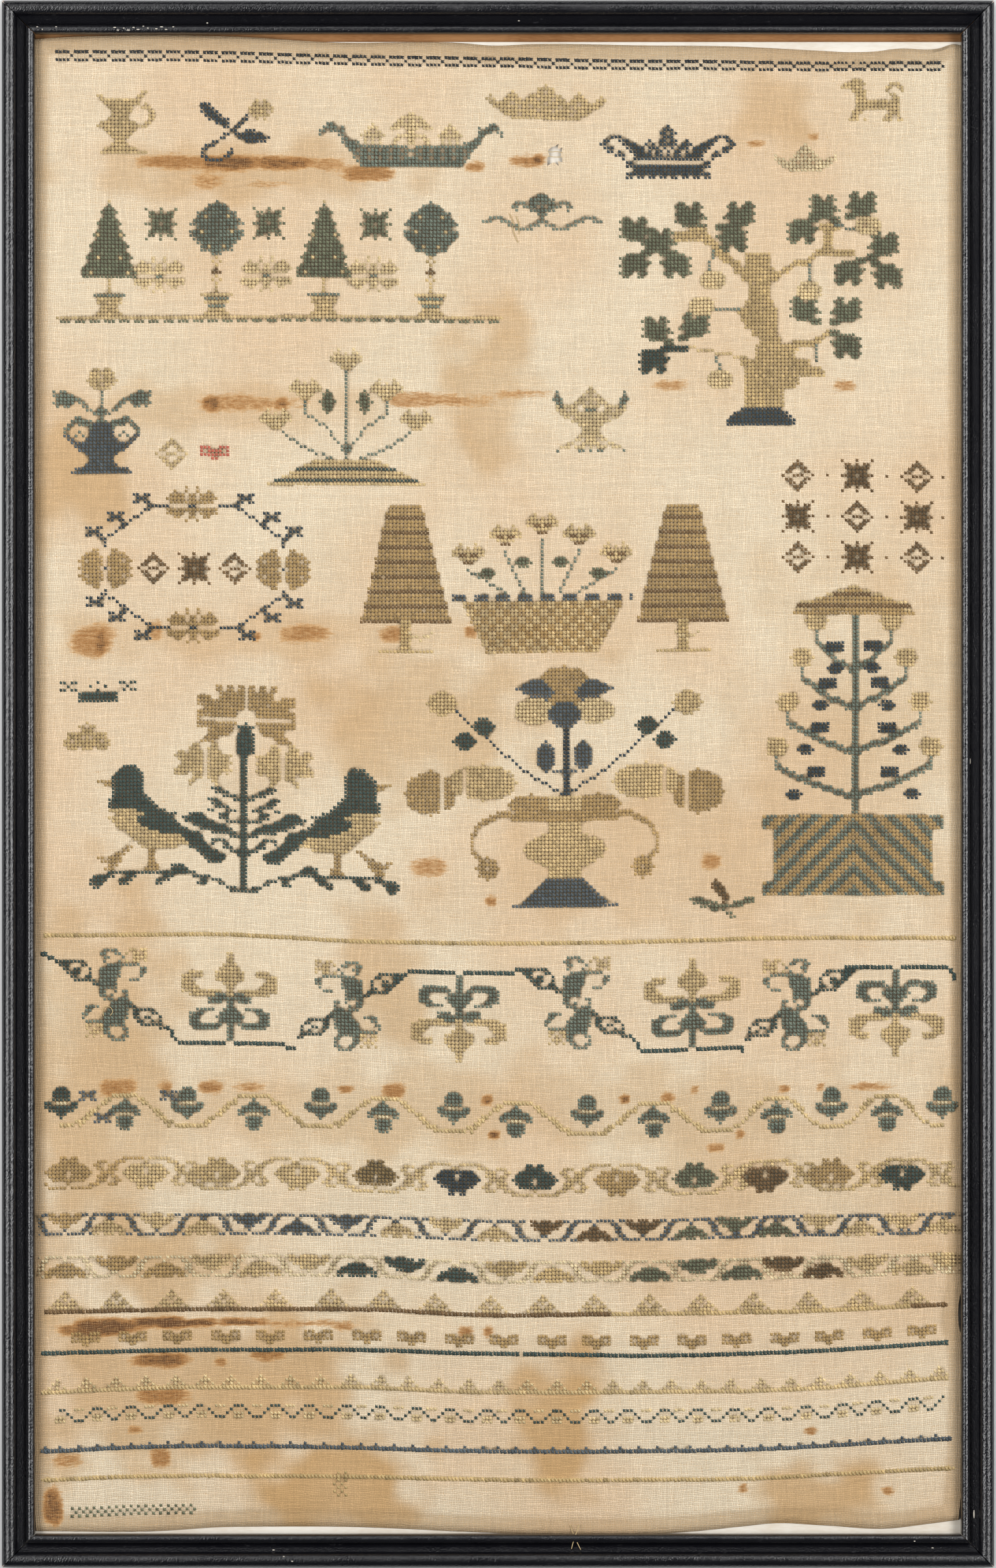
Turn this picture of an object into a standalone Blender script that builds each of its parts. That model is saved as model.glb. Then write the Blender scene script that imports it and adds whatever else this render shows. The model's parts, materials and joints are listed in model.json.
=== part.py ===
"""A cross stitch sampler in a narrow black moulding, lying on its back with its face up.

X is the width, +Y is the sampler's top, Z is the depth and +Z comes out of the face. The origin is the
middle of the frame's back, which is what it rests on. Metres.
"""

import math
from collections import namedtuple

import bmesh
import bpy
import numpy as np

MM = 0.001

# Frame, outside. The sight opening is what the moulding leaves open.
FRAME_WIDTH = 370 * MM
FRAME_HEIGHT = 584 * MM
MOULDING_WIDTH = 12.3 * MM
SIGHT_WIDTH = FRAME_WIDTH - 2 * MOULDING_WIDTH
SIGHT_HEIGHT = FRAME_HEIGHT - 2 * MOULDING_WIDTH
GAP = 0.3 * MM

# Moulding section, from its outer side inwards and from its back up.
BACK_CHAMFER = 0.4 * MM
OUTER_BEAD_RADIUS = 2.8 * MM
OUTER_BEAD_TOP = 18 * MM
COVE_WIDTH = 3.4 * MM
COVE_BOTTOM = 14.2 * MM
COVE_DEPTH = 1.0 * MM
INNER_BEAD_TOP = 15.6 * MM
LIP_UNDERSIDE = 10 * MM
REBATE_WALL = 6.5 * MM
BEAD_STEPS = 10
COVE_STEPS = 6
SHARP_EDGE = 35

# Where each curve of the section starts and ends, in degrees anticlockwise from the sampler's side.
OUTER_BEAD_ARC = (180, 12)
COVE_ARC = (190, 330)
INNER_BEAD_ARC = (155, 0)

# Boards in the rebate, from the back up. The white board has slid down, so it stops short at the top.
BACK_BOARD_BOTTOM = 3.2 * MM
BACK_BOARD_THICKNESS = 3 * MM
MOUNT_BOARD_THICKNESS = 1.5 * MM
MOUNT_BOARD_TOP_DROP = 2.6 * MM

# Cloth sheet. Its hem is turned to the back, which makes it thicker along its edges.
CLOTH_THICKNESS = 1.0 * MM
HEM_WIDTH = 5.2 * MM
HEM_RISE = 0.35 * MM
HELD_EDGE_FADE = 7 * MM
LOOSE_EDGE_REACH = 2 * MM
CLOTH_COLUMNS = 30
CLOTH_ROWS = 62

# Where the cloth's top edge lies below the top of the sight opening.
TopEdge = namedtuple("TopEdge", "x_mm drop_mm")
TOP_EDGE = (
    TopEdge(-175, 1.7),
    TopEdge(-164, 0.9),
    TopEdge(-149, 0.3),
    TopEdge(-101, 0.5),
    TopEdge(-60, 2.8),
    TopEdge(-12, 3.1),
    TopEdge(-3, 3.9),
    TopEdge(13, 3.4),
    TopEdge(57, 3.9),
    TopEdge(86, 4.2),
    TopEdge(119, 5.8),
    TopEdge(131, 6.4),
    TopEdge(141, 6.1),
    TopEdge(149, 5.1),
    TopEdge(165, 4.9),
    TopEdge(170, 3.4),
    TopEdge(175, 4.4),
)

# Where its bottom edge lies above the bottom of the sight opening.
BottomEdge = namedtuple("BottomEdge", "x_mm rise_mm")
BOTTOM_EDGE = (
    BottomEdge(-175, 0.7),
    BottomEdge(-125, 0.8),
    BottomEdge(-105, 2.1),
    BottomEdge(-81, 2.4),
    BottomEdge(-57, 2.3),
    BottomEdge(-34, 1.5),
    BottomEdge(-16, 0.6),
    BottomEdge(72, 0.5),
    BottomEdge(91, 2.4),
    BottomEdge(103, 3.6),
    BottomEdge(122, 2.8),
    BottomEdge(145, 1.6),
    BottomEdge(160, 3.3),
    BottomEdge(172, 4.9),
)

# How far each side edge runs in under the moulding; below 0, its edge stands clear of it.
SideEdges = namedtuple("SideEdges", "y_mm left_under_mm right_under_mm")
SIDE_EDGES = (
    SideEdges(-278, -0.2, -0.6),
    SideEdges(-266, 0.6, 0.4),
    SideEdges(-240, 1.6, 1.5),
    SideEdges(-212, 2.0, 0.8),
    SideEdges(-206, 2.0, -0.6),
    SideEdges(-199, 2.0, -0.8),
    SideEdges(-190, 2.0, 0.6),
    SideEdges(-160, 2.2, 1.6),
    SideEdges(50, 2.2, 2.0),
    SideEdges(280, 1.6, 1.5),
)

# Soft ripples in the cloth: long low ridges that run across it, and the curled corner at top right.
Ripple = namedtuple("Ripple", "x_mm y_mm half_length_mm half_width_mm height_mm")
RIPPLES = (
    Ripple(-80, 262, 110, 9, 0.5),
    Ripple(60, 232, 150, 14, 0.6),
    Ripple(-70, 168, 140, 12, 0.8),
    Ripple(90, 128, 120, 16, 0.6),
    Ripple(-60, 88, 150, 13, 0.7),
    Ripple(50, 38, 160, 15, 0.6),
    Ripple(-90, 8, 110, 11, 0.8),
    Ripple(70, -34, 130, 14, 0.7),
    Ripple(-30, -72, 170, 12, 0.9),
    Ripple(60, -112, 150, 12, 0.7),
    Ripple(-50, -148, 160, 11, 1.0),
    Ripple(80, -178, 130, 10, 0.8),
    Ripple(-40, -208, 160, 10, 1.0),
    Ripple(60, -236, 140, 9, 0.8),
    Ripple(-70, -262, 110, 8, 0.7),
    Ripple(166, 274, 6, 5, 1.2),
)

Stack = namedtuple("Stack", "back_board mount_board cloth")
STACK = Stack(
    back_board=BACK_BOARD_BOTTOM,
    mount_board=BACK_BOARD_BOTTOM + BACK_BOARD_THICKNESS + GAP,
    cloth=BACK_BOARD_BOTTOM + BACK_BOARD_THICKNESS + MOUNT_BOARD_THICKNESS + 2 * GAP,
)


def clear_scene():
    for old in list(bpy.data.objects):
        bpy.data.objects.remove(old, do_unlink=True)


def principled(name, colour, roughness):
    material = bpy.data.materials.new(name)
    material.use_nodes = True
    shader = material.node_tree.nodes["Principled BSDF"]
    shader.inputs["Base Color"].default_value = (*colour, 1)
    shader.inputs["Roughness"].default_value = roughness
    shader.inputs["Metallic"].default_value = 0
    return material


def add_object(name, work_mesh, material):
    """Turns a bmesh into the scene's object of that name, with its faces pointing out."""
    bmesh.ops.recalc_face_normals(work_mesh, faces=work_mesh.faces)
    mesh = bpy.data.meshes.new(name)
    work_mesh.to_mesh(mesh)
    work_mesh.free()
    mesh.materials.append(material)
    obj = bpy.data.objects.new(name, mesh)
    bpy.context.scene.collection.objects.link(obj)
    return obj


def arc(centre, radii, start, end, steps):
    """Points on an ellipse's arc, from one angle to the other, in degrees."""
    angles = [math.radians(start + (end - start) * i / steps) for i in range(steps + 1)]
    return [(centre[0] + radii[0] * math.cos(a), centre[1] + radii[1] * math.sin(a)) for a in angles]


def moulding_section():
    """The section's outline as (distance from the outer side, height), clockwise from the back."""
    cove_start = 2 * OUTER_BEAD_RADIUS
    cove_end = cove_start + COVE_WIDTH
    inner_radius = (MOULDING_WIDTH - cove_end) / 2
    outer_bead = arc(
        (OUTER_BEAD_RADIUS, OUTER_BEAD_TOP - OUTER_BEAD_RADIUS),
        (OUTER_BEAD_RADIUS, OUTER_BEAD_RADIUS),
        *OUTER_BEAD_ARC,
        BEAD_STEPS,
    )
    cove = arc(
        (cove_start + COVE_WIDTH / 2, COVE_BOTTOM + COVE_DEPTH),
        (COVE_WIDTH / 2, COVE_DEPTH),
        *COVE_ARC,
        COVE_STEPS,
    )
    inner_bead = arc(
        (cove_end + inner_radius, INNER_BEAD_TOP - inner_radius),
        (inner_radius, inner_radius),
        *INNER_BEAD_ARC,
        BEAD_STEPS,
    )
    behind = [
        (MOULDING_WIDTH, LIP_UNDERSIDE),
        (REBATE_WALL, LIP_UNDERSIDE),
        (REBATE_WALL, BACK_CHAMFER),
        (REBATE_WALL - BACK_CHAMFER, 0),
        (BACK_CHAMFER, 0),
        (0, BACK_CHAMFER),
    ]
    return outer_bead + cove + inner_bead + behind


def make_member(name, length, turn, material):
    """One mitred length of moulding. Built along Y on the left side, then turned about the frame's middle."""
    half_span = (FRAME_HEIGHT if length == FRAME_WIDTH else FRAME_WIDTH) / 2
    mitre_gap = GAP / 2 * math.sqrt(2)
    work_mesh = bmesh.new()
    outline = [work_mesh.verts.new((across - half_span, 0, height)) for across, height in moulding_section()]
    start_face = work_mesh.faces.new(outline)
    swept = bmesh.ops.extrude_face_region(work_mesh, geom=[start_face])
    far_end = [item for item in swept["geom"] if isinstance(item, bmesh.types.BMVert)]
    for end, side in ((outline, -1), (far_end, 1)):
        for vert in end:
            across = vert.co.x + half_span
            vert.co.y = side * (length / 2 - across - mitre_gap)
    member = add_object(name, work_mesh, material)
    member.rotation_euler.z = math.radians(turn)
    member.data.shade_smooth()
    member.data.set_sharp_from_angle(angle=math.radians(SHARP_EDGE))
    return member


def make_board(name, bottom, thickness, low_y, high_y, material):
    """A flat board that fills the rebate from side to side."""
    width = FRAME_WIDTH - 2 * (REBATE_WALL + GAP)
    work_mesh = bmesh.new()
    bmesh.ops.create_cube(work_mesh, size=1)
    for vert in work_mesh.verts:
        vert.co.x *= width
        vert.co.y = high_y if vert.co.y > 0 else low_y
        vert.co.z = bottom + (thickness if vert.co.z > 0 else 0)
    return add_object(name, work_mesh, material)


def read_table(table, column, at):
    """A smooth curve through one column of a table, read at a place given in metres."""
    places = np.array([row[0] for row in table]) * MM
    values = np.array([getattr(row, column) for row in table]) * MM
    at = min(max(at, places[0]), places[-1])
    slopes = np.gradient(values, places)
    i = min(max(int(np.searchsorted(places, at)) - 1, 0), len(places) - 2)
    step = places[i + 1] - places[i]
    t = (at - places[i]) / step
    start = values[i] * (1 + 2 * t) * (1 - t) ** 2 + slopes[i] * step * t * (1 - t) ** 2
    end = values[i + 1] * t * t * (3 - 2 * t) - slopes[i + 1] * step * t * t * (1 - t)
    return start + end


def soft_step(value, full_at):
    """0 at 0, rising smoothly to 1 at full_at."""
    t = min(max(value / full_at, 0), 1)
    return t * t * (3 - 2 * t)


def spread(count, border):
    """Places from 0 to 1, with two close rows at each end for the hem and even ones between them."""
    inner = [border + (1 - 2 * border) * i / (count - 4) for i in range(count - 3)]
    return [0, border / 2, *inner, 1 - border / 2, 1]


def cloth_place(across, up):
    """Where a point of the sheet lies, from its share of the width and of the height."""
    nominal_y = (up - 0.5) * SIGHT_HEIGHT
    left = -SIGHT_WIDTH / 2 - read_table(SIDE_EDGES, "left_under_mm", nominal_y)
    right = SIGHT_WIDTH / 2 + read_table(SIDE_EDGES, "right_under_mm", nominal_y)
    x = left + (right - left) * across
    low = -SIGHT_HEIGHT / 2 + read_table(BOTTOM_EDGE, "rise_mm", x)
    high = SIGHT_HEIGHT / 2 - read_table(TOP_EDGE, "drop_mm", x)
    return x, low + (high - low) * up


def ripple_height(x, y):
    """How far the cloth stands off the board: nothing at the moulding, a little at its loose top and bottom."""
    total = 0
    for ripple in RIPPLES:
        along = (x / MM - ripple.x_mm) / ripple.half_length_mm
        over = (y / MM - ripple.y_mm) / ripple.half_width_mm
        total += ripple.height_mm * MM * math.exp(-(along**2) - over**2)
    inside = min(SIGHT_WIDTH / 2 - abs(x), SIGHT_HEIGHT / 2 - abs(y) + LOOSE_EDGE_REACH)
    return total * soft_step(inside, HELD_EDGE_FADE)


def hem_rise(across, up, width, height):
    """The extra thickness of the turned hem, with a soft inner edge."""
    from_edge = min(across * width, (1 - across) * width, up * height, (1 - up) * height)
    return HEM_RISE * (1 - soft_step(from_edge - HEM_WIDTH / 2, HEM_WIDTH / 2))


def make_cloth(material):
    """The sheet: a flat grid extruded to a slab, each point of which then goes to its place."""
    columns = spread(CLOTH_COLUMNS, HEM_WIDTH / SIGHT_WIDTH)
    rows = spread(CLOTH_ROWS, HEM_WIDTH / SIGHT_HEIGHT)
    work_mesh = bmesh.new()
    bmesh.ops.create_grid(work_mesh, x_segments=CLOTH_COLUMNS, y_segments=CLOTH_ROWS, size=0.5)
    lifted = bmesh.ops.extrude_face_region(work_mesh, geom=list(work_mesh.faces))
    for item in lifted["geom"]:
        if isinstance(item, bmesh.types.BMVert):
            item.co.z = 1
    for vert in work_mesh.verts:
        across = columns[round((vert.co.x + 0.5) * CLOTH_COLUMNS)]
        up = rows[round((vert.co.y + 0.5) * CLOTH_ROWS)]
        x, y = cloth_place(across, up)
        height = STACK.cloth + ripple_height(x, y)
        if vert.co.z > 0:
            height += CLOTH_THICKNESS + hem_rise(across, up, SIGHT_WIDTH, SIGHT_HEIGHT)
        vert.co = (x, y, height)
    cloth = add_object("sampler_cloth", work_mesh, material)
    cloth.data.shade_smooth()
    cloth.data.set_sharp_from_angle(angle=math.radians(SHARP_EDGE))
    return cloth


def build():
    clear_scene()
    black_wood = principled("ebonised_wood", (0.008, 0.008, 0.010), 0.38)
    brown_board = principled("brown_board", (0.42, 0.27, 0.17), 0.9)
    white_card = principled("white_card", (0.80, 0.77, 0.71), 0.9)
    linen = principled("aged_linen", (0.72, 0.56, 0.36), 0.95)

    make_member("frame_left", FRAME_HEIGHT, 0, black_wood)
    make_member("frame_bottom", FRAME_WIDTH, 90, black_wood)
    make_member("frame_right", FRAME_HEIGHT, 180, black_wood)
    make_member("frame_top", FRAME_WIDTH, 270, black_wood)

    rebate_reach = FRAME_HEIGHT / 2 - REBATE_WALL - GAP
    mount_top = SIGHT_HEIGHT / 2 - MOUNT_BOARD_TOP_DROP
    make_board(
        "back_board", STACK.back_board, BACK_BOARD_THICKNESS, -rebate_reach, rebate_reach, brown_board
    )
    make_board(
        "mount_board", STACK.mount_board, MOUNT_BOARD_THICKNESS, -rebate_reach, mount_top, white_card
    )
    make_cloth(linen)


build()
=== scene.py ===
# %% [markdown]
# # A framed cross stitch sampler
# A linen cloth, sewn all over with small crosses of wool and silk, lies on a white board in a narrow
# black frame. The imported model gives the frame, the boards and the cloth their places. This script
# gives them their looks: the moulding's fine curves, the weave, every single cross, and the stains.

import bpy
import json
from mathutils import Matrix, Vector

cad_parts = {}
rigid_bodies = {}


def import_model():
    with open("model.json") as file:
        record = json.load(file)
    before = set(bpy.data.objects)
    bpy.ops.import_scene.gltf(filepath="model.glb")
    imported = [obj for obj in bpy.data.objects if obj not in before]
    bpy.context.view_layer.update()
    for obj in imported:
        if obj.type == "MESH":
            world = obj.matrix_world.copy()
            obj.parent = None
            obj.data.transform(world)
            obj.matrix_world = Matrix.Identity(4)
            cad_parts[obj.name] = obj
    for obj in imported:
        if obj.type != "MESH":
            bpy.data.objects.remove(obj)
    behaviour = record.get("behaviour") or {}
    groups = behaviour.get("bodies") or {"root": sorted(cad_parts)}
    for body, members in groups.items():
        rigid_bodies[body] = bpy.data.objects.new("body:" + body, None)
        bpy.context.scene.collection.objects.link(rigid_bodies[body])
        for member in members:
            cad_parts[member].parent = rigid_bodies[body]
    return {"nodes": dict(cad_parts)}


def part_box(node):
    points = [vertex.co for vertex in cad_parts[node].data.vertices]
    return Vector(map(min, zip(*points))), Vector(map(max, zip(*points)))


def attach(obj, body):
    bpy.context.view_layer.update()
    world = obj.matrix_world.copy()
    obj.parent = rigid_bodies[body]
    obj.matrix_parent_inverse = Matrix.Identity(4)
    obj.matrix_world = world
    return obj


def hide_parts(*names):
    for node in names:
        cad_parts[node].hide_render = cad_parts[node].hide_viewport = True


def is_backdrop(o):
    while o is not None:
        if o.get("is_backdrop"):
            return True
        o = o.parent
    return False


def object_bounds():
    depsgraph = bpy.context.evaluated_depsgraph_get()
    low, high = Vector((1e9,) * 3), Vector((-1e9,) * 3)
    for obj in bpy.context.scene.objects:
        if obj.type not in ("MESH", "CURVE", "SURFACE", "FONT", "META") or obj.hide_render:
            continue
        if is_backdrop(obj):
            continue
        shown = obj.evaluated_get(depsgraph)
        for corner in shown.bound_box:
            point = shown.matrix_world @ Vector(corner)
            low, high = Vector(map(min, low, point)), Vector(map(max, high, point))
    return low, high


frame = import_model()
cad_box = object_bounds()
print("nodes:", ", ".join(sorted(frame["nodes"])))

# %% [markdown]
# ## Sizes
# A sampler is counted: each cross covers two threads by two, so one cross is the natural unit for
# everything sewn. Real sizes are in metres, and MM turns a size in millimetres into metres. Places on
# the cloth were read off the photograph, so they are kept as pixels of it and turned into millimetres.

# %% Sizes and places
import json
import math
from collections import namedtuple

import bmesh
import bpy
import numpy as np
from mathutils import Matrix, Vector

MM = 0.001
STITCH = 1.383 * MM
PHOTO_WIDTH = 1530
PHOTO_HEIGHT = 2408
PHOTO_MM_PER_PX = 0.2426

low, high = (Vector(corner) for corner in cad_box)
FRAME_WIDTH = high.x - low.x
FRAME_HEIGHT = high.y - low.y
MOULDING_WIDTH = 12.3 * MM
SIGHT_WIDTH = FRAME_WIDTH - 2 * MOULDING_WIDTH
SIGHT_HEIGHT = FRAME_HEIGHT - 2 * MOULDING_WIDTH
BOARD_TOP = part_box("mount_board")[1].z


def x_of(px):
    """A photo column as a place across the frame, in metres."""
    return (px - PHOTO_WIDTH / 2) * PHOTO_MM_PER_PX * MM


def y_of(px):
    """A photo row as a place up the frame, in metres."""
    return (PHOTO_HEIGHT / 2 - px) * PHOTO_MM_PER_PX * MM


print(f"frame {FRAME_WIDTH / MM:.0f} x {FRAME_HEIGHT / MM:.0f} mm, board at {BOARD_TOP / MM:.1f} mm")

# %% [markdown]
# ## Camera and light
# The photograph looks straight down on the face, from far away, so a long lens stands over it. Flat
# pictures are copied with one broad lamp at each side, at about 45 degrees. That lights the cloth evenly,
# puts a bright line on the beads at left and right, and leaves the top and bottom members dark. The
# moulding's soft shadows along both sides come from it too.

# %% Camera
LENS_MM = 200
SENSOR_MM = 36
FACE_HEIGHT = 16 * MM

view_height = PHOTO_HEIGHT * PHOTO_MM_PER_PX * MM
camera_data = bpy.data.cameras.new("camera")
camera_data.lens = LENS_MM
camera_data.sensor_width = SENSOR_MM
camera = bpy.data.objects.new("camera", camera_data)
camera.location = (0, 0, FACE_HEIGHT + view_height * LENS_MM / SENSOR_MM)
bpy.context.scene.collection.objects.link(camera)
bpy.context.scene.camera = camera
print(f"camera {camera.location.z:.2f} m above the floor")

# %% Lamps, sky and floor
LAMP_DISTANCE = 1.3
Lamp = namedtuple("Lamp", "name side_degrees tilt_degrees width length watts")
LAMPS = (
    Lamp("lamp_left", -33, 6, 1.35, 0.42, 11.9),
    Lamp("lamp_right", 33, 6, 1.35, 0.42, 11.9),
    Lamp("lamp_top", 0, 50, 0.9, 0.3, 1.6),
)


def add_lamp(lamp):
    """An area lamp on an arc over the frame, turned to face its middle."""
    data = bpy.data.lights.new(lamp.name, "AREA")
    data.shape = "RECTANGLE"
    data.size = lamp.width
    data.size_y = lamp.length
    data.energy = lamp.watts
    made = bpy.data.objects.new(lamp.name, data)
    side = math.radians(lamp.side_degrees)
    tilt = math.radians(lamp.tilt_degrees)
    reach = Vector((math.sin(side), math.sin(tilt), math.cos(side) * math.cos(tilt))).normalized()
    made.location = reach * LAMP_DISTANCE
    made.rotation_euler = reach.to_track_quat("Z", "Y").to_euler()
    made.visible_camera = False
    bpy.context.scene.collection.objects.link(made)


for lamp in LAMPS:
    add_lamp(lamp)

world = bpy.data.worlds.new("studio")
world.use_nodes = True
world.node_tree.nodes["Background"].inputs["Color"].default_value = (0.9, 0.95, 1, 1)
world.node_tree.nodes["Background"].inputs["Strength"].default_value = 0.06
bpy.context.scene.world = world
bpy.context.scene.view_settings.view_transform = "Standard"

floor_work = bmesh.new()
bmesh.ops.create_grid(floor_work, x_segments=1, y_segments=1, size=1.5)
floor_mesh = bpy.data.meshes.new("floor")
floor_work.to_mesh(floor_mesh)
floor_work.free()
floor = bpy.data.objects.new("floor", floor_mesh)
bpy.context.scene.collection.objects.link(floor)
floor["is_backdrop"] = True
print(len(LAMPS), "lamps and a floor")

# %% [markdown]
# ## Helpers for shaders and meshes
# A material is a small machine of nodes. Two helpers keep the recipes short: one adds a node and links
# its inputs, the other does a sum. A third turns a bmesh into an object that rides on the frame.

# %% Shader helpers
GAMMA_CUT = 0.04045


def linear(red, green, blue):
    """A colour as a picture shows it, from 0 to 255, as the light that Blender reckons with."""
    shares = [value / 255 for value in (red, green, blue)]
    light = [s / 12.92 if s <= GAMMA_CUT else ((s + 0.055) / 1.055) ** 2.4 for s in shares]
    return (*light, 1)


def feed(tree, socket, value):
    """Links a socket to another node's output, or sets it."""
    if isinstance(value, bpy.types.NodeSocket):
        tree.links.new(value, socket)
    else:
        socket.default_value = value


def add_node(tree, kind, inputs=None, **settings):
    made = tree.nodes.new(kind)
    for key, value in settings.items():
        setattr(made, key, value)
    for name, value in (inputs or {}).items():
        feed(tree, made.inputs[name], value)
    return made


def calc(tree, operation, *terms, clamp=False):
    """The result of one Math node."""
    made = add_node(tree, "ShaderNodeMath", operation=operation, use_clamp=clamp)
    for place, term in enumerate(terms):
        feed(tree, made.inputs[place], term)
    return made.outputs[0]


def blend(tree, share, first, second, mode="MIX"):
    """One colour over another."""
    made = add_node(tree, "ShaderNodeMix", data_type="RGBA", blend_type=mode)
    made.clamp_factor = True
    for place, value in ((0, share), (6, first), (7, second)):
        feed(tree, made.inputs[place], value)
    return made.outputs[2]


def ramp(tree, value, low_end, high_end, low_out=0.0, high_out=1.0):
    """Stretches the part of a value between two ends over a new span, with soft ends."""
    made = add_node(
        tree,
        "ShaderNodeMapRange",
        {"Value": value, "From Min": low_end, "From Max": high_end, "To Min": low_out, "To Max": high_out},
        interpolation_type="SMOOTHSTEP",
    )
    return made.outputs["Result"]


def noise(tree, place, scale, detail=2.0, roughness=0.5):
    made = add_node(
        tree,
        "ShaderNodeTexNoise",
        {"Vector": place, "Scale": scale, "Detail": detail, "Roughness": roughness},
    )
    return made.outputs["Fac"]


def stretched(tree, place, x, y, z):
    """A place with each of its axes scaled by its own amount."""
    made = add_node(tree, "ShaderNodeVectorMath", {0: place, 1: (x, y, z)}, operation="MULTIPLY")
    return made.outputs["Vector"]


def read_attribute(tree, name):
    return add_node(tree, "ShaderNodeAttribute", attribute_name=name)


def new_material(name, roughness):
    material = bpy.data.materials.new(name)
    material.use_nodes = True
    shader = material.node_tree.nodes["Principled BSDF"]
    shader.inputs["Roughness"].default_value = roughness
    shader.inputs["Metallic"].default_value = 0
    return material, material.node_tree, shader


def new_group(name, inputs, outputs):
    """A shader node group with named inputs and outputs."""
    group = bpy.data.node_groups.new(name, "ShaderNodeTree")
    for socket, kind in inputs:
        group.interface.new_socket(socket, in_out="INPUT", socket_type=kind)
    for socket, kind in outputs:
        group.interface.new_socket(socket, in_out="OUTPUT", socket_type=kind)
    return group, group.nodes.new("NodeGroupInput"), group.nodes.new("NodeGroupOutput")


# %% Mesh helpers
def finish_piece(name, work_mesh, material, smooth_degrees=None):
    """Turns a bmesh into a piece that rides on the frame."""
    mesh = bpy.data.meshes.new(name)
    work_mesh.to_mesh(mesh)
    work_mesh.free()
    return finish_mesh(name, mesh, material, smooth_degrees)


def finish_mesh(name, mesh, material, smooth_degrees=None):
    mesh.materials.clear()
    mesh.materials.append(material)
    if smooth_degrees is not None:
        mesh.shade_smooth()
        mesh.set_sharp_from_angle(angle=math.radians(smooth_degrees))
    piece = bpy.data.objects.new(name, mesh)
    bpy.context.scene.collection.objects.link(piece)
    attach(piece, "root")
    mesh.calc_loop_triangles()
    print(f"{name}: {len(mesh.loop_triangles)} triangles")
    return piece


def smooth_curve(places, values, at):
    """A smooth curve through some values, read at many places at once. Values may have several rows."""
    places = np.asarray(places, float)
    values = np.asarray(values, float)
    at = np.clip(at, places[0], places[-1])
    slopes = np.gradient(values, places, axis=-1)
    i = np.clip(np.searchsorted(places, at) - 1, 0, len(places) - 2)
    step = places[i + 1] - places[i]
    t = (at - places[i]) / step
    start = values[..., i] * (1 + 2 * t) * (1 - t) ** 2 + slopes[..., i] * step * t * (1 - t) ** 2
    end = values[..., i + 1] * t * t * (3 - 2 * t) - slopes[..., i + 1] * step * t * t * (1 - t)
    return start + end


def soft_step(value, full_at):
    """0 at 0, rising smoothly to 1 at full_at."""
    t = np.clip(value / full_at, 0, 1)
    return t * t * (3 - 2 * t)


def drift(x, y, wave_mm, seed):
    """A smooth wandering value from -1 to 1, the same on each run."""
    total = 0
    for i in range(5):
        angle = seed * 1.7 + i * 2.4
        turn = 2 * math.pi / (wave_mm * MM) * (0.7 + 0.33 * i)
        along = x * math.cos(angle) + y * math.sin(angle)
        total = total + np.sin(along * turn + seed * 3.1 + i * 1.9) / (1 + 0.5 * i)
    return total / 2.6


# %% [markdown]
# ## The cloth's shape
# The linen is one thin sheet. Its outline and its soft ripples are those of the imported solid, so the
# lists below repeat it. Its sides are held under the moulding, while its top and bottom edges lie loose
# on the white board and stop a little short of the moulding.

# %% The cloth's outline and ripples
CLOTH_FACE = 9.3 * MM
HEM_WIDTH = 5.2 * MM
HEM_RISE = 0.35 * MM
HELD_EDGE_FADE = 7 * MM
LOOSE_EDGE_REACH = 2 * MM

TopEdge = namedtuple("TopEdge", "x_mm drop_mm")
TOP_EDGE = (
    TopEdge(-175, 1.7),
    TopEdge(-164, 0.9),
    TopEdge(-149, 0.3),
    TopEdge(-101, 0.5),
    TopEdge(-60, 2.8),
    TopEdge(-12, 3.1),
    TopEdge(-3, 3.9),
    TopEdge(13, 3.4),
    TopEdge(57, 3.9),
    TopEdge(86, 4.2),
    TopEdge(119, 5.8),
    TopEdge(131, 6.4),
    TopEdge(141, 6.1),
    TopEdge(149, 5.1),
    TopEdge(165, 4.9),
    TopEdge(170, 3.4),
    TopEdge(175, 4.4),
)

BottomEdge = namedtuple("BottomEdge", "x_mm rise_mm")
BOTTOM_EDGE = (
    BottomEdge(-175, 0.7),
    BottomEdge(-125, 0.8),
    BottomEdge(-105, 2.1),
    BottomEdge(-81, 2.4),
    BottomEdge(-57, 2.3),
    BottomEdge(-34, 1.5),
    BottomEdge(-16, 0.6),
    BottomEdge(72, 0.5),
    BottomEdge(91, 2.4),
    BottomEdge(103, 3.6),
    BottomEdge(122, 2.8),
    BottomEdge(145, 1.6),
    BottomEdge(160, 3.3),
    BottomEdge(172, 4.9),
)

SideEdges = namedtuple("SideEdges", "y_mm left_under_mm right_under_mm")
SIDE_EDGES = (
    SideEdges(-278, -0.2, -0.6),
    SideEdges(-266, 0.6, 0.4),
    SideEdges(-240, 1.6, 1.5),
    SideEdges(-212, 2.0, 0.8),
    SideEdges(-206, 2.0, -0.6),
    SideEdges(-199, 2.0, -0.8),
    SideEdges(-190, 2.0, 0.6),
    SideEdges(-160, 2.2, 1.6),
    SideEdges(50, 2.2, 2.0),
    SideEdges(280, 1.6, 1.5),
)

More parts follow.
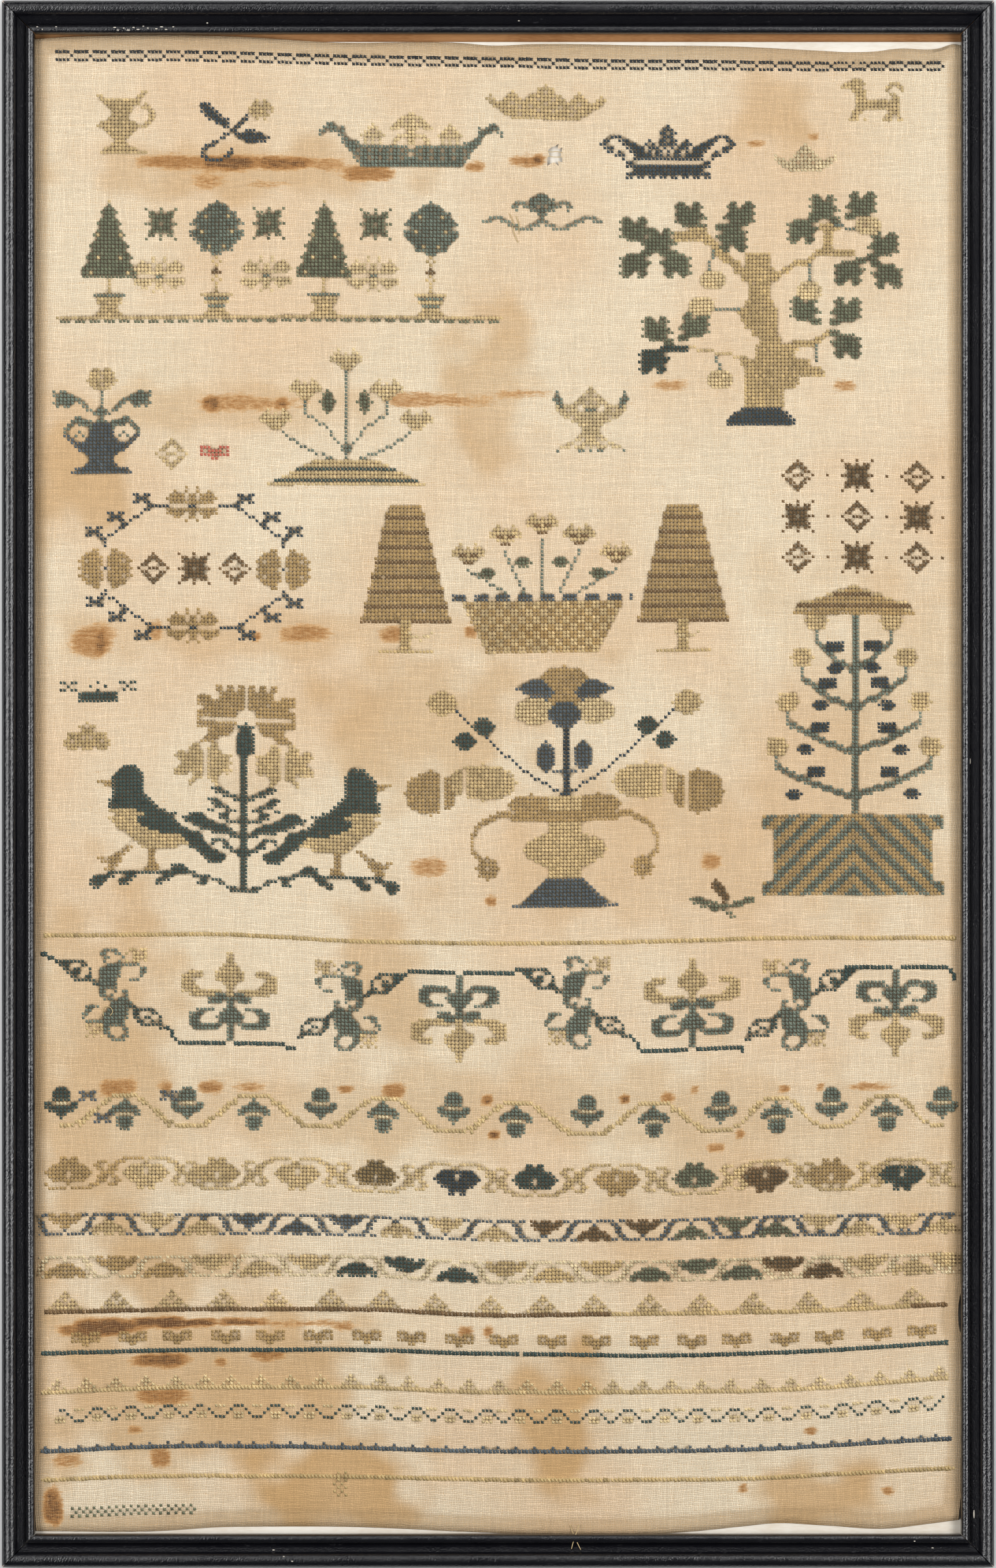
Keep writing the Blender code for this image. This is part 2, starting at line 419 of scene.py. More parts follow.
Ripple = namedtuple("Ripple", "x_mm y_mm half_length_mm half_width_mm height_mm")
RIPPLES = (
    Ripple(-80, 262, 110, 9, 0.5),
    Ripple(60, 232, 150, 14, 0.6),
    Ripple(-70, 168, 140, 12, 0.8),
    Ripple(90, 128, 120, 16, 0.6),
    Ripple(-60, 88, 150, 13, 0.7),
    Ripple(50, 38, 160, 15, 0.6),
    Ripple(-90, 8, 110, 11, 0.8),
    Ripple(70, -34, 130, 14, 0.7),
    Ripple(-30, -72, 170, 12, 0.9),
    Ripple(60, -112, 150, 12, 0.7),
    Ripple(-50, -148, 160, 11, 1.0),
    Ripple(80, -178, 130, 10, 0.8),
    Ripple(-40, -208, 160, 10, 1.0),
    Ripple(60, -236, 140, 9, 0.8),
    Ripple(-70, -262, 110, 8, 0.7),
    Ripple(166, 274, 6, 5, 1.2),
)


def column_of(outline_rows, name):
    return [getattr(row, name) * MM for row in outline_rows]


def edge_at(outline_rows, name, at):
    """One column of an outline list, as a smooth curve read at places in metres."""
    return smooth_curve([row[0] * MM for row in outline_rows], column_of(outline_rows, name), at)


def cloth_place(across, up):
    """Where points of the sheet lie, from their shares of the width and of the height."""
    nominal_y = (up - 0.5) * SIGHT_HEIGHT
    left = -SIGHT_WIDTH / 2 - edge_at(SIDE_EDGES, "left_under_mm", nominal_y)
    right = SIGHT_WIDTH / 2 + edge_at(SIDE_EDGES, "right_under_mm", nominal_y)
    x = left + (right - left) * across
    low_y = -SIGHT_HEIGHT / 2 + edge_at(BOTTOM_EDGE, "rise_mm", x)
    high_y = SIGHT_HEIGHT / 2 - edge_at(TOP_EDGE, "drop_mm", x)
    return x, low_y + (high_y - low_y) * up


def cloth_height(x, y):
    """The height of the cloth's face, with its ripples and a fine puckering."""
    total = 0
    for ripple in RIPPLES:
        along = (x / MM - ripple.x_mm) / ripple.half_length_mm
        over = (y / MM - ripple.y_mm) / ripple.half_width_mm
        total = total + ripple.height_mm * MM * np.exp(-(along**2) - over**2)
    total = total + 0.10 * MM * drift(x, y, 17, 3) + 0.06 * MM * drift(x, y, 7, 8)
    inside = np.minimum(SIGHT_WIDTH / 2 - abs(x), SIGHT_HEIGHT / 2 - abs(y) + LOOSE_EDGE_REACH)
    return CLOTH_FACE + total * soft_step(inside, HELD_EDGE_FADE)


print(len(RIPPLES), "ripples")

# %% [markdown]
# ## How the rows run
# Old linen pulls out of square. The sewn rows rise and fall by a few millimetres across the cloth, and
# the weave does the same, so both use one function. The list gives how far a straight row is bent up
# at seven places across, for several heights on the cloth.

# %% The bend of the rows
BOW_PLACES_MM = (-168, -110, -50, 0, 60, 120, 166)
RowBow = namedtuple("RowBow", "y_mm bends_mm")
ROW_BOWS = (
    RowBow(-290, (-1.0, 0.6, 0, -0.9, -1.0, 0.5, 3.0)),
    RowBow(-258, (-1.1, 0.6, 0, -1.0, -1.1, 0.5, 3.4)),
    RowBow(-248, (-1.4, 0.5, -0.3, -1.6, -1.4, 0.3, 3.3)),
    RowBow(-225, (-1.7, 0.4, 0, -1.5, -1.5, 0, 3.9)),
    RowBow(-211, (-1.0, 0.5, 0.3, -1.0, -1.6, 0, 3.2)),
    RowBow(-197, (-0.8, 0.3, 0.2, -1.9, -1.2, -0.2, 2.1)),
    RowBow(-146, (1.5, 1.5, 0.4, -1.3, -0.8, 0.8, 1.0)),
    RowBow(-122, (1.0, 1.3, 0.5, -1.5, -1.7, 0.8, 1.5)),
    RowBow(-57, (1.5, 2.0, -0.5, -1.5, -0.5, 0.8, 0.5)),
    RowBow(60, (0.4, 0.3, -0.4, -0.3, 0.2, 0.3, 0)),
    RowBow(173, (-0.4, 0, 0.3, -0.3, 0, 0.4, 0)),
    RowBow(255, (1.2, 0.9, 0.3, -0.2, -0.6, -0.8, -0.9)),
    RowBow(271, (2.5, 1.9, 0.6, -0.4, -1.3, -1.7, -1.9)),
    RowBow(290, (2.5, 1.9, 0.6, -0.4, -1.3, -1.7, -1.9)),
)


def bend(x, y):
    """How far a thread is moved across and up, at a place given in metres."""
    heights = np.array([row.y_mm for row in ROW_BOWS]) * MM
    bends = np.array([row.bends_mm for row in ROW_BOWS]) * MM
    at_rows = smooth_curve(np.array(BOW_PLACES_MM) * MM, bends, x)
    y = np.clip(y, heights[0], heights[-1])
    j = np.clip(np.searchsorted(heights, y) - 1, 0, len(heights) - 2)
    share = (y - heights[j]) / (heights[j + 1] - heights[j])
    points = np.arange(len(x))
    up = at_rows[j, points] * (1 - share) + at_rows[j + 1, points] * share
    return 0.35 * MM * drift(x, y, 90, 5), up + 0.25 * MM * drift(x, y, 60, 2)


def stitch_place(columns, rows):
    """Where crosses lie on the cloth, from their counted columns and rows."""
    x = np.asarray(columns, float) * STITCH
    y = np.asarray(rows, float) * STITCH
    aside, up = bend(x, y)
    return x + aside, y + up


def stitch_count(x, y):
    """The counted column and row of a place on the cloth: the other way round."""
    column_x, row_y = x, y
    for _ in range(3):
        aside, up = bend(column_x, row_y)
        column_x, row_y = x - aside, y - up
    return column_x / STITCH, row_y / STITCH


print(len(ROW_BOWS), "bent rows")

# %% [markdown]
# ## Sewing by chart
# Embroiderers draw a motif as a chart, one square for one cross, and so does this script. A chart is a
# block of signs: a dot is bare cloth and any other sign is a thread. Most motifs are the same left and right,
# so their charts hold the left half, and the sewing function mirrors it about the last column. Stems,
# round shapes and lines are easier as strokes and discs. All go to one dictionary, from place to thread.

# %% Threads and the sewing functions
Thread = namedtuple("Thread", "name colour")
THREADS = {
    "t": Thread("tan", (213, 188, 138)),
    "l": Thread("light_tan", (222, 200, 153)),
    "p": Thread("pale", (222, 205, 166)),
    "m": Thread("mustard", (204, 178, 126)),
    "o": Thread("olive_brown", (182, 152, 100)),
    "a": Thread("drab", (150, 126, 84)),
    "b": Thread("brown", (122, 96, 64)),
    "s": Thread("slate", (120, 130, 116)),
    "g": Thread("leaf_green", (118, 122, 98)),
    "d": Thread("dark_blue", (60, 73, 80)),
    "k": Thread("teal", (68, 85, 80)),
    "u": Thread("blue", (90, 100, 105)),
    "c": Thread("charcoal", (56, 59, 60)),
    "r": Thread("red", (192, 102, 84)),
}
DARK_THREADS = "absgdkuc"
BOLD_WIDTH, BOLD_HEIGHT = 1.18, 1.5
crosses = {}
bold_places = set()


def column_at(px):
    return round(x_of(px) / STITCH)


def row_at(px):
    return round(y_of(px) / STITCH)


def sew(column, row, yarn, bold=False):
    place = (int(column), int(row))
    crosses[place] = yarn
    (bold_places.add if bold else bold_places.discard)(place)


def stamp(chart, column, top, mirror="", flip=False, turn=False, swap=None):
    """Sews a chart from its top row down. A whole chart starts at the column; a half one is mirrored about
    it, with its last column on the axis ("odd") or just beside it ("even")."""
    lines = chart.split()
    if flip:
        lines.reverse()
    if turn:
        width = max(len(line) for line in lines)
        lines = [line.ljust(width, ".")[::-1] for line in lines]
    for down, line in enumerate(lines):
        for place, yarn in enumerate(line):
            if yarn == ".":
                continue
            yarn = (swap or {}).get(yarn, yarn)
            out = len(line) - 1 - place
            if mirror:
                sew(column - out - (mirror == "even"), top - down, yarn)
                sew(column + out, top - down, yarn)
            else:
                sew(column + place, top - down, yarn)


def stroke(column, row, points, yarn, thick=1, both=False, bold=False):
    """A line of crosses through points that are counted from a column and a row."""
    for (x0, y0), (x1, y1) in zip(points, points[1:]):
        steps = max(abs(x1 - x0), abs(y1 - y0), 1)
        for i in range(steps + 1):
            across = round(x0 + (x1 - x0) * i / steps)
            up = round(y0 + (y1 - y0) * i / steps)
            for extra in range(thick):
                sew(column + across, row + up + extra, yarn, bold)
                if both:
                    sew(column - across, row + up + extra, yarn, bold)


def disc(column, row, half_width, half_height, yarn, both_about=None):
    """A filled round of crosses, and its mirror image about a column where one is given."""
    for across in range(-math.ceil(half_width), math.ceil(half_width) + 1):
        for up in range(-math.ceil(half_height), math.ceil(half_height) + 1):
            if (across / half_width) ** 2 + (up / half_height) ** 2 <= 1:
                sew(column + across, row + up, yarn)
                if both_about is not None:
                    sew(2 * both_about - column - across, row + up, yarn)


def unpick(column, row):
    crosses.pop((int(column), int(row)), None)


def spaced(first_px, last_px, count):
    """Columns spread evenly between two photo columns, as near as counting allows."""
    return [column_at(first_px + (last_px - first_px) * i / (count - 1)) for i in range(count)]


# %% [markdown]
# ## The borders
# Eleven bands run across the cloth. Each is a traditional repeat: a chain, a flower vine, acorns,
# S-scrolls, little vines, stepped pyramids, hearts and plain lines. A repeat is charted once and sewn in
# a loop, with the colour changes that the old threads show.

# %% Chain border at the top, and the plain lines
CHAIN = """
cccc.
....c
cccc.
"""
CHAIN_TOP_PX = 84
CHAIN_LEFT_PX = 89
CHAIN_REPEATS = 48

for i in range(CHAIN_REPEATS):
    stamp(CHAIN, column_at(CHAIN_LEFT_PX) + 5 * i, row_at(CHAIN_TOP_PX))

PlainLine = namedtuple("PlainLine", "y_px left_px right_px yarn")
PLAIN_LINES = (
    PlainLine(1441, 72, 1468, "m"),
    PlainLine(2014, 72, 937, "b"),
    PlainLine(2014, 940, 1400, "m"),
    PlainLine(2014, 1404, 1452, "b"),
    PlainLine(2075, 65, 1453, "k"),
    PlainLine(2131, 62, 1452, "t"),
    PlainLine(2226, 60, 1462, "u"),
    PlainLine(2269, 62, 1468, "m"),
)
for line in PLAIN_LINES:
    for column in range(column_at(line.left_px), column_at(line.right_px) + 1):
        sew(column, row_at(line.y_px), line.yarn, bold=True)
print(len(crosses), "crosses after the lines")

# %% Flower vine
UPRIGHT_FLOWER = """
.............t
.............t
.............t
............tt
...........ttt
...tttt...tttt
.tttttt...tttt
.ttt......tttt
.tttt.......tt
.ttttt.......t
.ttttttttttt.t
...tttttttssst
........ssssss
........ssss.s
.............s
.....sssss..ss
...ssss....sss
...sss....ssss
...sss.....sss
...sssssssss.s
....sssssss..s
.............s
.............s
.............s
"""
LINKED_SPRIGS = """
...................ssss...tt.tt
..................ss..ss.t.tt.t
...................ss...s..tttt
......kkkkkkkk.....s...s.t.tt.t
.......kkk...kk.....sssssssss
........kk.kk..k..ssssss.....ss
.........kkkk..k..ssssss.....ss
..........kk..kk..ssssss.....s
...........kkkkkk.sssss...sss
................kksssss
..................sssss
..................ss..s.ss
..................ss.s...s
...................sss.sss
.....................ssssss
..............ssss...ssssskk
..............ss....ssssss.kkkkkk
.............ss....sssssss.kk...kk
.............s.....sssssss.kk.kk..k
..............sssssssssss...kk..k.k
..............tt.ttssssss....kkkkkk
..............t.t.tss...ss........kk
...............ttt.ss....s
..............t.t.t.ss..ss..........
.....................ssss...............
"""
VINE_LOW_LINE_PX = 1606
VINE_HIGH_LINE_PX = 1490
VineFlower = namedtuple("VineFlower", "x_px upright")
VINE_FLOWERS = (
    VineFlower(353, True),
    VineFlower(708, False),
    VineFlower(1065, True),
    VineFlower(1378, False),
)
VineSprigs = namedtuple("VineSprigs", "x_px y_px falling")
VINE_SPRIGS = (
    VineSprigs(180, 1541, True),
    VineSprigs(533, 1549, False),
    VineSprigs(889, 1543, True),
    VineSprigs(1222, 1549, False),
)

line_ends = [(column_at(57), row_at(1468))]
for flower, sprigs in zip(VINE_FLOWERS, VINE_SPRIGS):
    across, up = column_at(sprigs.x_px), row_at(sprigs.y_px)
    first = across - (22 if sprigs.falling else 17)
    stamp(LINKED_SPRIGS, first, up + 13, turn=not sprigs.falling)
    slope = 1 if sprigs.falling else -1
    falls = slope < 0
    line_ends += [(across - 16 + 2 * falls, up + 10 * slope - falls), (across + 14, up - 8 * slope)]
    centre = column_at(flower.x_px)
    line_row = row_at(VINE_LOW_LINE_PX if flower.upright else VINE_HIGH_LINE_PX)
    stamp(UPRIGHT_FLOWER, centre, line_row + (24 if flower.upright else -1), "even", flip=not flower.upright)
    for out in range(1, 14):
        sew(centre + out, line_row, "k", bold=True)
        sew(centre - 1 - out, line_row, "k", bold=True)
    line_ends += [(centre - 14, line_row), (centre + 13, line_row)]
line_ends.append((column_at(1475), row_at(1520)))
for start, end in zip(line_ends[0::2], line_ends[1::2]):
    stroke(0, 0, (start, end), "k", bold=True)
print(len(crosses), "crosses after the flower vine")

# %% Acorn vine
ACORN = """
...sss...
..sssss..
..sssss..
..sssss..
ss.ppp.ss
sssssssss
.sssssss.
...sss...
....s....
"""
SMALL_FLORET = """
uu.uu
.uuu.
uu.uu
"""
ACORNS_UP_PX = (95, 288, 494, 694, 901, 1105, 1277, 1448)
ACORNS_DOWN_PX = (192, 386, 588, 793, 1006, 1193, 1366)
ACORN_UP_TOP_PX = 1679
ACORN_DOWN_TOP_PX = 1694
VINE_TROUGH_PX = 1737
VINE_CREST_PX = 1686

turns = sorted([(px, VINE_TROUGH_PX) for px in ACORNS_UP_PX] + [(px, VINE_CREST_PX) for px in ACORNS_DOWN_PX])
for (left_px, left_y), (right_px, right_y) in zip(turns, turns[1:]):
    left, right = column_at(left_px), column_at(right_px)
    for column in range(left, right + 1):
        share = soft_step((column - left - 2) / max(right - left - 4, 1), 1)
        reach = row_at(left_y) + (row_at(right_y) - row_at(left_y)) * float(share)
        sew(column, round(reach), "t", bold=True)
        if 0.1 < share < 0.9:
            sew(column, round(reach - 0.6), "t", bold=True)
for px in ACORNS_UP_PX:
    stamp(ACORN, column_at(px) - 4, row_at(ACORN_UP_TOP_PX), swap={"s": "k"} if px < 100 else None)
for px in ACORNS_DOWN_PX:
    stamp(ACORN, column_at(px) - 4, row_at(ACORN_DOWN_TOP_PX), flip=True)
for px, py in ((130, 1690), (155, 1725), (258, 1690)):
    stamp(SMALL_FLORET, column_at(px) - 2, row_at(py) + 1)

# %% S-scroll band
SCROLL_FLOWER = """
....xx.
....xxx
..xxxxx
.xxxxxx
xxxxxx.
.xxxxx.
..xxxxx
"""
SCROLL_RUN = """
...............yyyyyy.
........yyy..yyy.....y
.......yy..yyy........
........yy.yyy........
.........yyyy.........
........yyy.yy........
........yyy..yy.......
y.....yyy..yyy........
.yyyyyy...............
"""
ScrollFlower = namedtuple("ScrollFlower", "x_px yarn scroll")
SCROLL_FLOWERS = (
    ScrollFlower(103, "o", "o"),
    ScrollFlower(222, "t", "t"),
    ScrollFlower(332, "m", "t"),
    ScrollFlower(457, "t", "t"),
    ScrollFlower(578, "a", "t"),
    ScrollFlower(701, "d", "t"),
    ScrollFlower(821, "k", "m"),
    ScrollFlower(947, "o", "t"),
    ScrollFlower(1066, "g", "t"),
    ScrollFlower(1173, "b", "m"),
    ScrollFlower(1278, "o", "m"),
    ScrollFlower(1385, "k", "t"),
)
SCROLL_MIDDLE_PX = 1811

middle = row_at(SCROLL_MIDDLE_PX)
for count, flower in enumerate(SCROLL_FLOWERS):
    centre = column_at(flower.x_px)
    under = count % 2 == 0
    if count == 0:
        stroke(centre, middle, ((-6, -3), (-5, -4), (-1, -4), (0, -3)), flower.scroll)
    stamp(SCROLL_RUN, centre, middle + 4, flip=not under, swap={"y": flower.scroll})
for count, flower in enumerate(SCROLL_FLOWERS):
    under = count % 2 == 0
    centre = column_at(flower.x_px)
    flower_top = middle + (4 if under else 2)
    stamp(SCROLL_FLOWER, centre, flower_top, "odd", flip=not under, swap={"x": flower.yarn})
print(len(crosses), "crosses after the scrolls")

# %% Two small vines with blossoms
VINE_CLIMB = """
.....xx.xxxxx.
.......xx....x
......xx......
......xx......
x....xx.......
.xxxxx.xx.....
"""
SMALL_BLOSSOM = """
xx.xx
xxxxx
.xxxx
...xx
"""
BLOSSOM = """
xx.xxx
xxxxxx
.xxxxx
...xxx
"""
SmallVine = namedtuple("SmallVine", "top_px vine blossom yarns high_first")
SMALL_VINES = (
    SmallVine(1871, "u", SMALL_BLOSSOM, " otttuuutttbbbgggtttt", True),
    SmallVine(1935, "p", BLOSSOM, " oootttkkkmmmgggbbttt", False),
)
VINE_PLACES_PX = (
    (
        24, 96, 168, 239, 307, 381, 455, 531, 610, 685, 761,
        838, 915, 990, 1062, 1130, 1195, 1260, 1325, 1389, 1450,
    ),
    (
        26, 100, 175, 250, 325, 400, 475, 550, 625, 701, 774,
        850, 926, 1000, 1073, 1141, 1205, 1269, 1336, 1404, 1459,
    ),
)
for vine, places_px in zip(SMALL_VINES, VINE_PLACES_PX):
    top = row_at(vine.top_px)
    for i, place_px in enumerate(places_px):
        high = (i % 2 == 0) == vine.high_first
        stamp(VINE_CLIMB, column_at(place_px), top, flip=high, swap={"x": vine.vine})
    for i, (place_px, yarn) in enumerate(zip(places_px, vine.yarns)):
        high = (i % 2 == 0) == vine.high_first
        if yarn != " ":
            stamp(vine.blossom, column_at(place_px), top - 2 * high, "odd", flip=high, swap={"x": yarn})
print(len(crosses), "crosses after the vines")

# %% Pyramids, hearts, zigzag and tufts
HEART = """
xxx.
x.xx
xxxx
...x
"""
LITTLE_PYRAMID = """
x
xx
x.x
"""

for centre in spaced(98, 1405, 17):
    top = row_at(2014) + 5
    for down in range(5):
        for out in range(down + 1):
            if (out + down) % 4 != 3:
                sew(centre + out, top - down, "t")
                sew(centre - out, top - down, "t")
for centre in spaced(133, 1423, 19):
    stamp(HEART, centre, row_at(2075) + 5, "even", swap={"x": "o"})
for centre in spaced(86, 1441, 31):
    stamp(LITTLE_PYRAMID, centre, row_at(2131) + 3, "odd", swap={"x": "l"})
crests = spaced(93, 1456, 26)
for left, right in zip(crests, crests[1:]):
    span = right - left
    base = row_at(2181)
    for column in range(left, right):
        share = (column - left) / span
        height = round(1.5 + 1.9 * math.cos(2 * math.pi * share))
        sew(column, base + max(0, min(3, height)), "k")
    for out in range(-1, 2):
        sew(left + out, base, "l")
        sew((left + right) // 2 + out, base + 3, "l")
        sew(left + out, base + 1, "l")
for centre in spaced(67, 1440, 52):
    sew(centre, row_at(2226) + 1, "u")
print(len(crosses), "crosses after the borders")

# %% [markdown]
# ## The spot motifs
# Above the bands lies a field of separate motifs: crowns, small animals, a jug, trees with birds,
# baskets and vases. Each has its own chart, placed by its centre and its top on the photograph.

# %% Crowns, a jug, a twig and a dog
JUG = """
............tt..
tt.........tt...
.ttttttttttt....
..tttttttttt.t..
...ttttttt..ttt.
....tttttt....tt
....ttttt.....tt
...tttttt.....tt
.tttttttttt..tt.
tttttttttttttt..
..ttttttttt.....
...ttttttt......
....ttttt.......
.....ttt........
....ttttt.......
..ttttttttt.....
.ttttttttttttt..
"""
TWIG = """
................t.t..
.ddd...........tt.tt.
.dddd.........ttttttt
.ddddd........ttttt.t
..ddddd......d.ttttt.
...dddddd...dd..t.t..
.....dddd..dd........
.......dd.dd.........
.........dd..ddd.....
.......dd.dddddddd...
......dd...ddddddddd.
....dd.......dddddd..
..ddd................
.dd......d...........
.d......dd...........
.dd....dd............
..ddddd..............
"""
SHIP_CROWN = """
.........................l
.......................lll
......................ll.l
...ss..........l.....lllll
..ssss.s......lll...lll.ll
.ss.ssss.....ll.ll.......l
.s....ss....lllllll...llll
.......ss....l.l.l...ll..l
.......sssss.l.l.l...l...l
........sssssssssssssssss.
.........ss.ss.ss.ss.ss.ss
..........sssssssssssssss.
..........s.ss.ss.ss.ss.ss
...........sssssssssssssss
............ssssssssssssss
"""
TAN_CROWN = """
t
ttt
.......t......tt.
.t....ttt...ttttt
ttt..ttttt.ttt.tt
.tttttt.tttttttt.
..ttttttt.tt.tttt
....tttttttttt.tt
.....tttt.ttttttt
.......tttttttttt
"""
DOG = """
...ttt...........
.tttttt......ttt.
tttttt......tt.tt
...tttt.....t...t
....ttt......tt..
....ttt.......tt.
....tttttttttttt.
....tttttttttttt.
....tttttttttttt.
...ttt.......ttt.
...tt.......tt.t.
..ttt.t....ttt.tt
"""
DARK_CROWN = """
d
dd
dd.
..dddd...........dd
.dd..ddd.....d..dd.
dd....dddd..ddd.ddd
.ddd...ddddd.ddd.d.
..dd.d..dddd.d.dd.d
....ddd..ddddd.dd.d
......d..dddddddddd
.......dd..........
.......dddddddddddd
.........dddddddddd
.......dddddddddddd
.......dd.dd.dd.dd.
"""
PALE_CROWN = """
p
pp
ppp
p....pp.p
ppp.ppppp
.ppppp.pp
..ppppppp
....ppppp
"""
LOZENGE = """
ss
ssss
.........sss.ssss
........ss.ssss.s
.........s...ssss
ss
..ssss..........s
sss..sss.......ss
.......sss...sss.
.........sssss...
"""
SMALL_BLUE_CROWN = """
ss.ss.....s
..s.....s..
ss.ss.....s
.....ssssss
.....ssssss
.....ssssss
"""
LITTLE_TREE = """
......x
....xx.
.....xx
.xxxxxx
.xxxx.x
xx.xxxx
xxxxxxx
.xxx.xx
"""
SPRIG = """
.......b..........
......bbb.........
......bbbb........
.......bbb........
........bbb.......
gggg.....bb....ggg
.ggggggg.b..gggggg
...gggggggggggg...
......gg.g........
..........gg......
...........gg.....
"""
Spot = namedtuple("Spot", "chart x_px top_px mirror")
SPOTS = (
    Spot(JUG, 148, 145, ""),
    Spot(TWIG, 305, 155, ""),
    Spot(SHIP_CROWN, 632, 175, "even"),
    Spot(TAN_CROWN, 840, 128, "odd"),
    Spot(DOG, 1298, 118, ""),
    Spot(DARK_CROWN, 1025, 192, "odd"),
    Spot(PALE_CROWN, 1239, 215, "odd"),
    Spot(LOZENGE, 832, 295, "odd"),
    Spot(SMALL_BLUE_CROWN.replace("s", "k"), 151, 1048, "odd"),
    Spot(LITTLE_TREE.replace("x", "m"), 132, 1110, "odd"),
    Spot(SPRIG, 1062, 1352, ""),
)
for spot in SPOTS:
    stamp(spot.chart, column_at(spot.x_px), row_at(spot.top_px), spot.mirror)
print(len(SPOTS), "small motifs")

# %% Vases with flowers
BLUE_VASE = """
tt.
tttt
ttt.
ttttt
ttt.
ttt
s.ss.........s
ssssss.......s
.sssssss.....s
ssssss.ss....s
.s.ss...ss...s
.........ss.ss
sss
......ss.....s
.....ssssss.ss
....ss.ssssuuu
...ss.....suuu
...s...s..uuuu
...uu.s.s.uuuu
....uu...uuuuu
.....uuuuuuuuu
......uuuuuuuu
.......uuuuuuu
.........uuuuu
..........uuuu
..........uuuu
.........uuuuu
......uuuuuuuu
.....uuuuuuuuu
"""
TAN_URN = """
l
.s.......ll
.s......l.l
sss....llll
.ss...lll.l
.lsllll.lll
.lll.ll..ss
..lllllllll
...ll.lllll
.....llllll
.......llll
lll
lll
llll
......ll.ll
....ll..lll
..lll.lll.l
.s.....ss.s
"""
stamp(BLUE_VASE, column_at(156), row_at(568), "odd")
stamp(TAN_URN, column_at(908), row_at(595), "odd")

VASE_X_PX = 869.6
VASE_TOP_PX = 1024
column = column_at(VASE_X_PX)
top = row_at(VASE_TOP_PX)
disc(column, top - 7, 8, 7, "o")
for down in range(4, 10):
    for out in range(3 + abs(down - 7), 14 - abs(down - 6) * 2):
        sew(column + out, top - down, "u")
        sew(column - out, top - down, "u")
disc(column + 8, top - 12, 5.5, 3.3, "l", both_about=column)
disc(column, top - 13, 4.3, 3.4, "u")
stroke(column, top, [(0, -17), (0, -35)], "d", 1)
stroke(column + 1, top, [(0, -17), (0, -35)], "d", 1)
disc(column + 5, top - 24, 2.6, 4, "u", both_about=column)
stroke(column, top, [(0, -29), (4, -27)], "u", 1, both=True)
stroke(column, top, [(1, -34), (12, -27), (20, -20), (29, -12)], "d", 1, both=True)
disc(column + 22, top - 16, 3, 2.2, "k", both_about=column)
disc(column + 27, top - 20, 3, 2.2, "k", both_about=column)
disc(column + 33, top - 10, 4, 3.2, "t", both_about=column)
for out, down, wide, high, yarn in ((36, 34, 7, 6, "o"), (22, 31, 9, 5, "t"), (9, 37, 6, 3, "o")):
    disc(column + out, top - down, wide, high, yarn, both_about=column)
for down in range(35, 45):
    stroke(column, top - down, [(-4, 0), (4, 0)], "t")
for down in range(39, 42):
    stroke(column, top - down, [(-11, 0), (11, 0)], "o")
stroke(column, top, [(12, -41), (17, -40), (22, -42), (25, -46), (25, -50), (22, -53)], "o", 2, both=True)
disc(column + 21, top - 54, 3, 3, "o", both_about=column)
for slit in (27, 33):
    for down in range(28, 42):
        unpick(column + slit, top - down)
        unpick(column - slit, top - down)
for side in (-21, 21):
    unpick(column + side, top - 54)
disc(column, top - 49, 11, 5, "t")
for down in range(54, 58):
    stroke(column, top - down, [(-4, 0), (4, 0)], "t")
for down in range(57, 65):
    stroke(column, top - down, [(57 - down - 5, 0), (5 + down - 57, 0)], "u")
stroke(column, top - 64, [(-14, 0), (-6, 0)], "u", both=True)
print(len(crosses), "crosses after the vases")

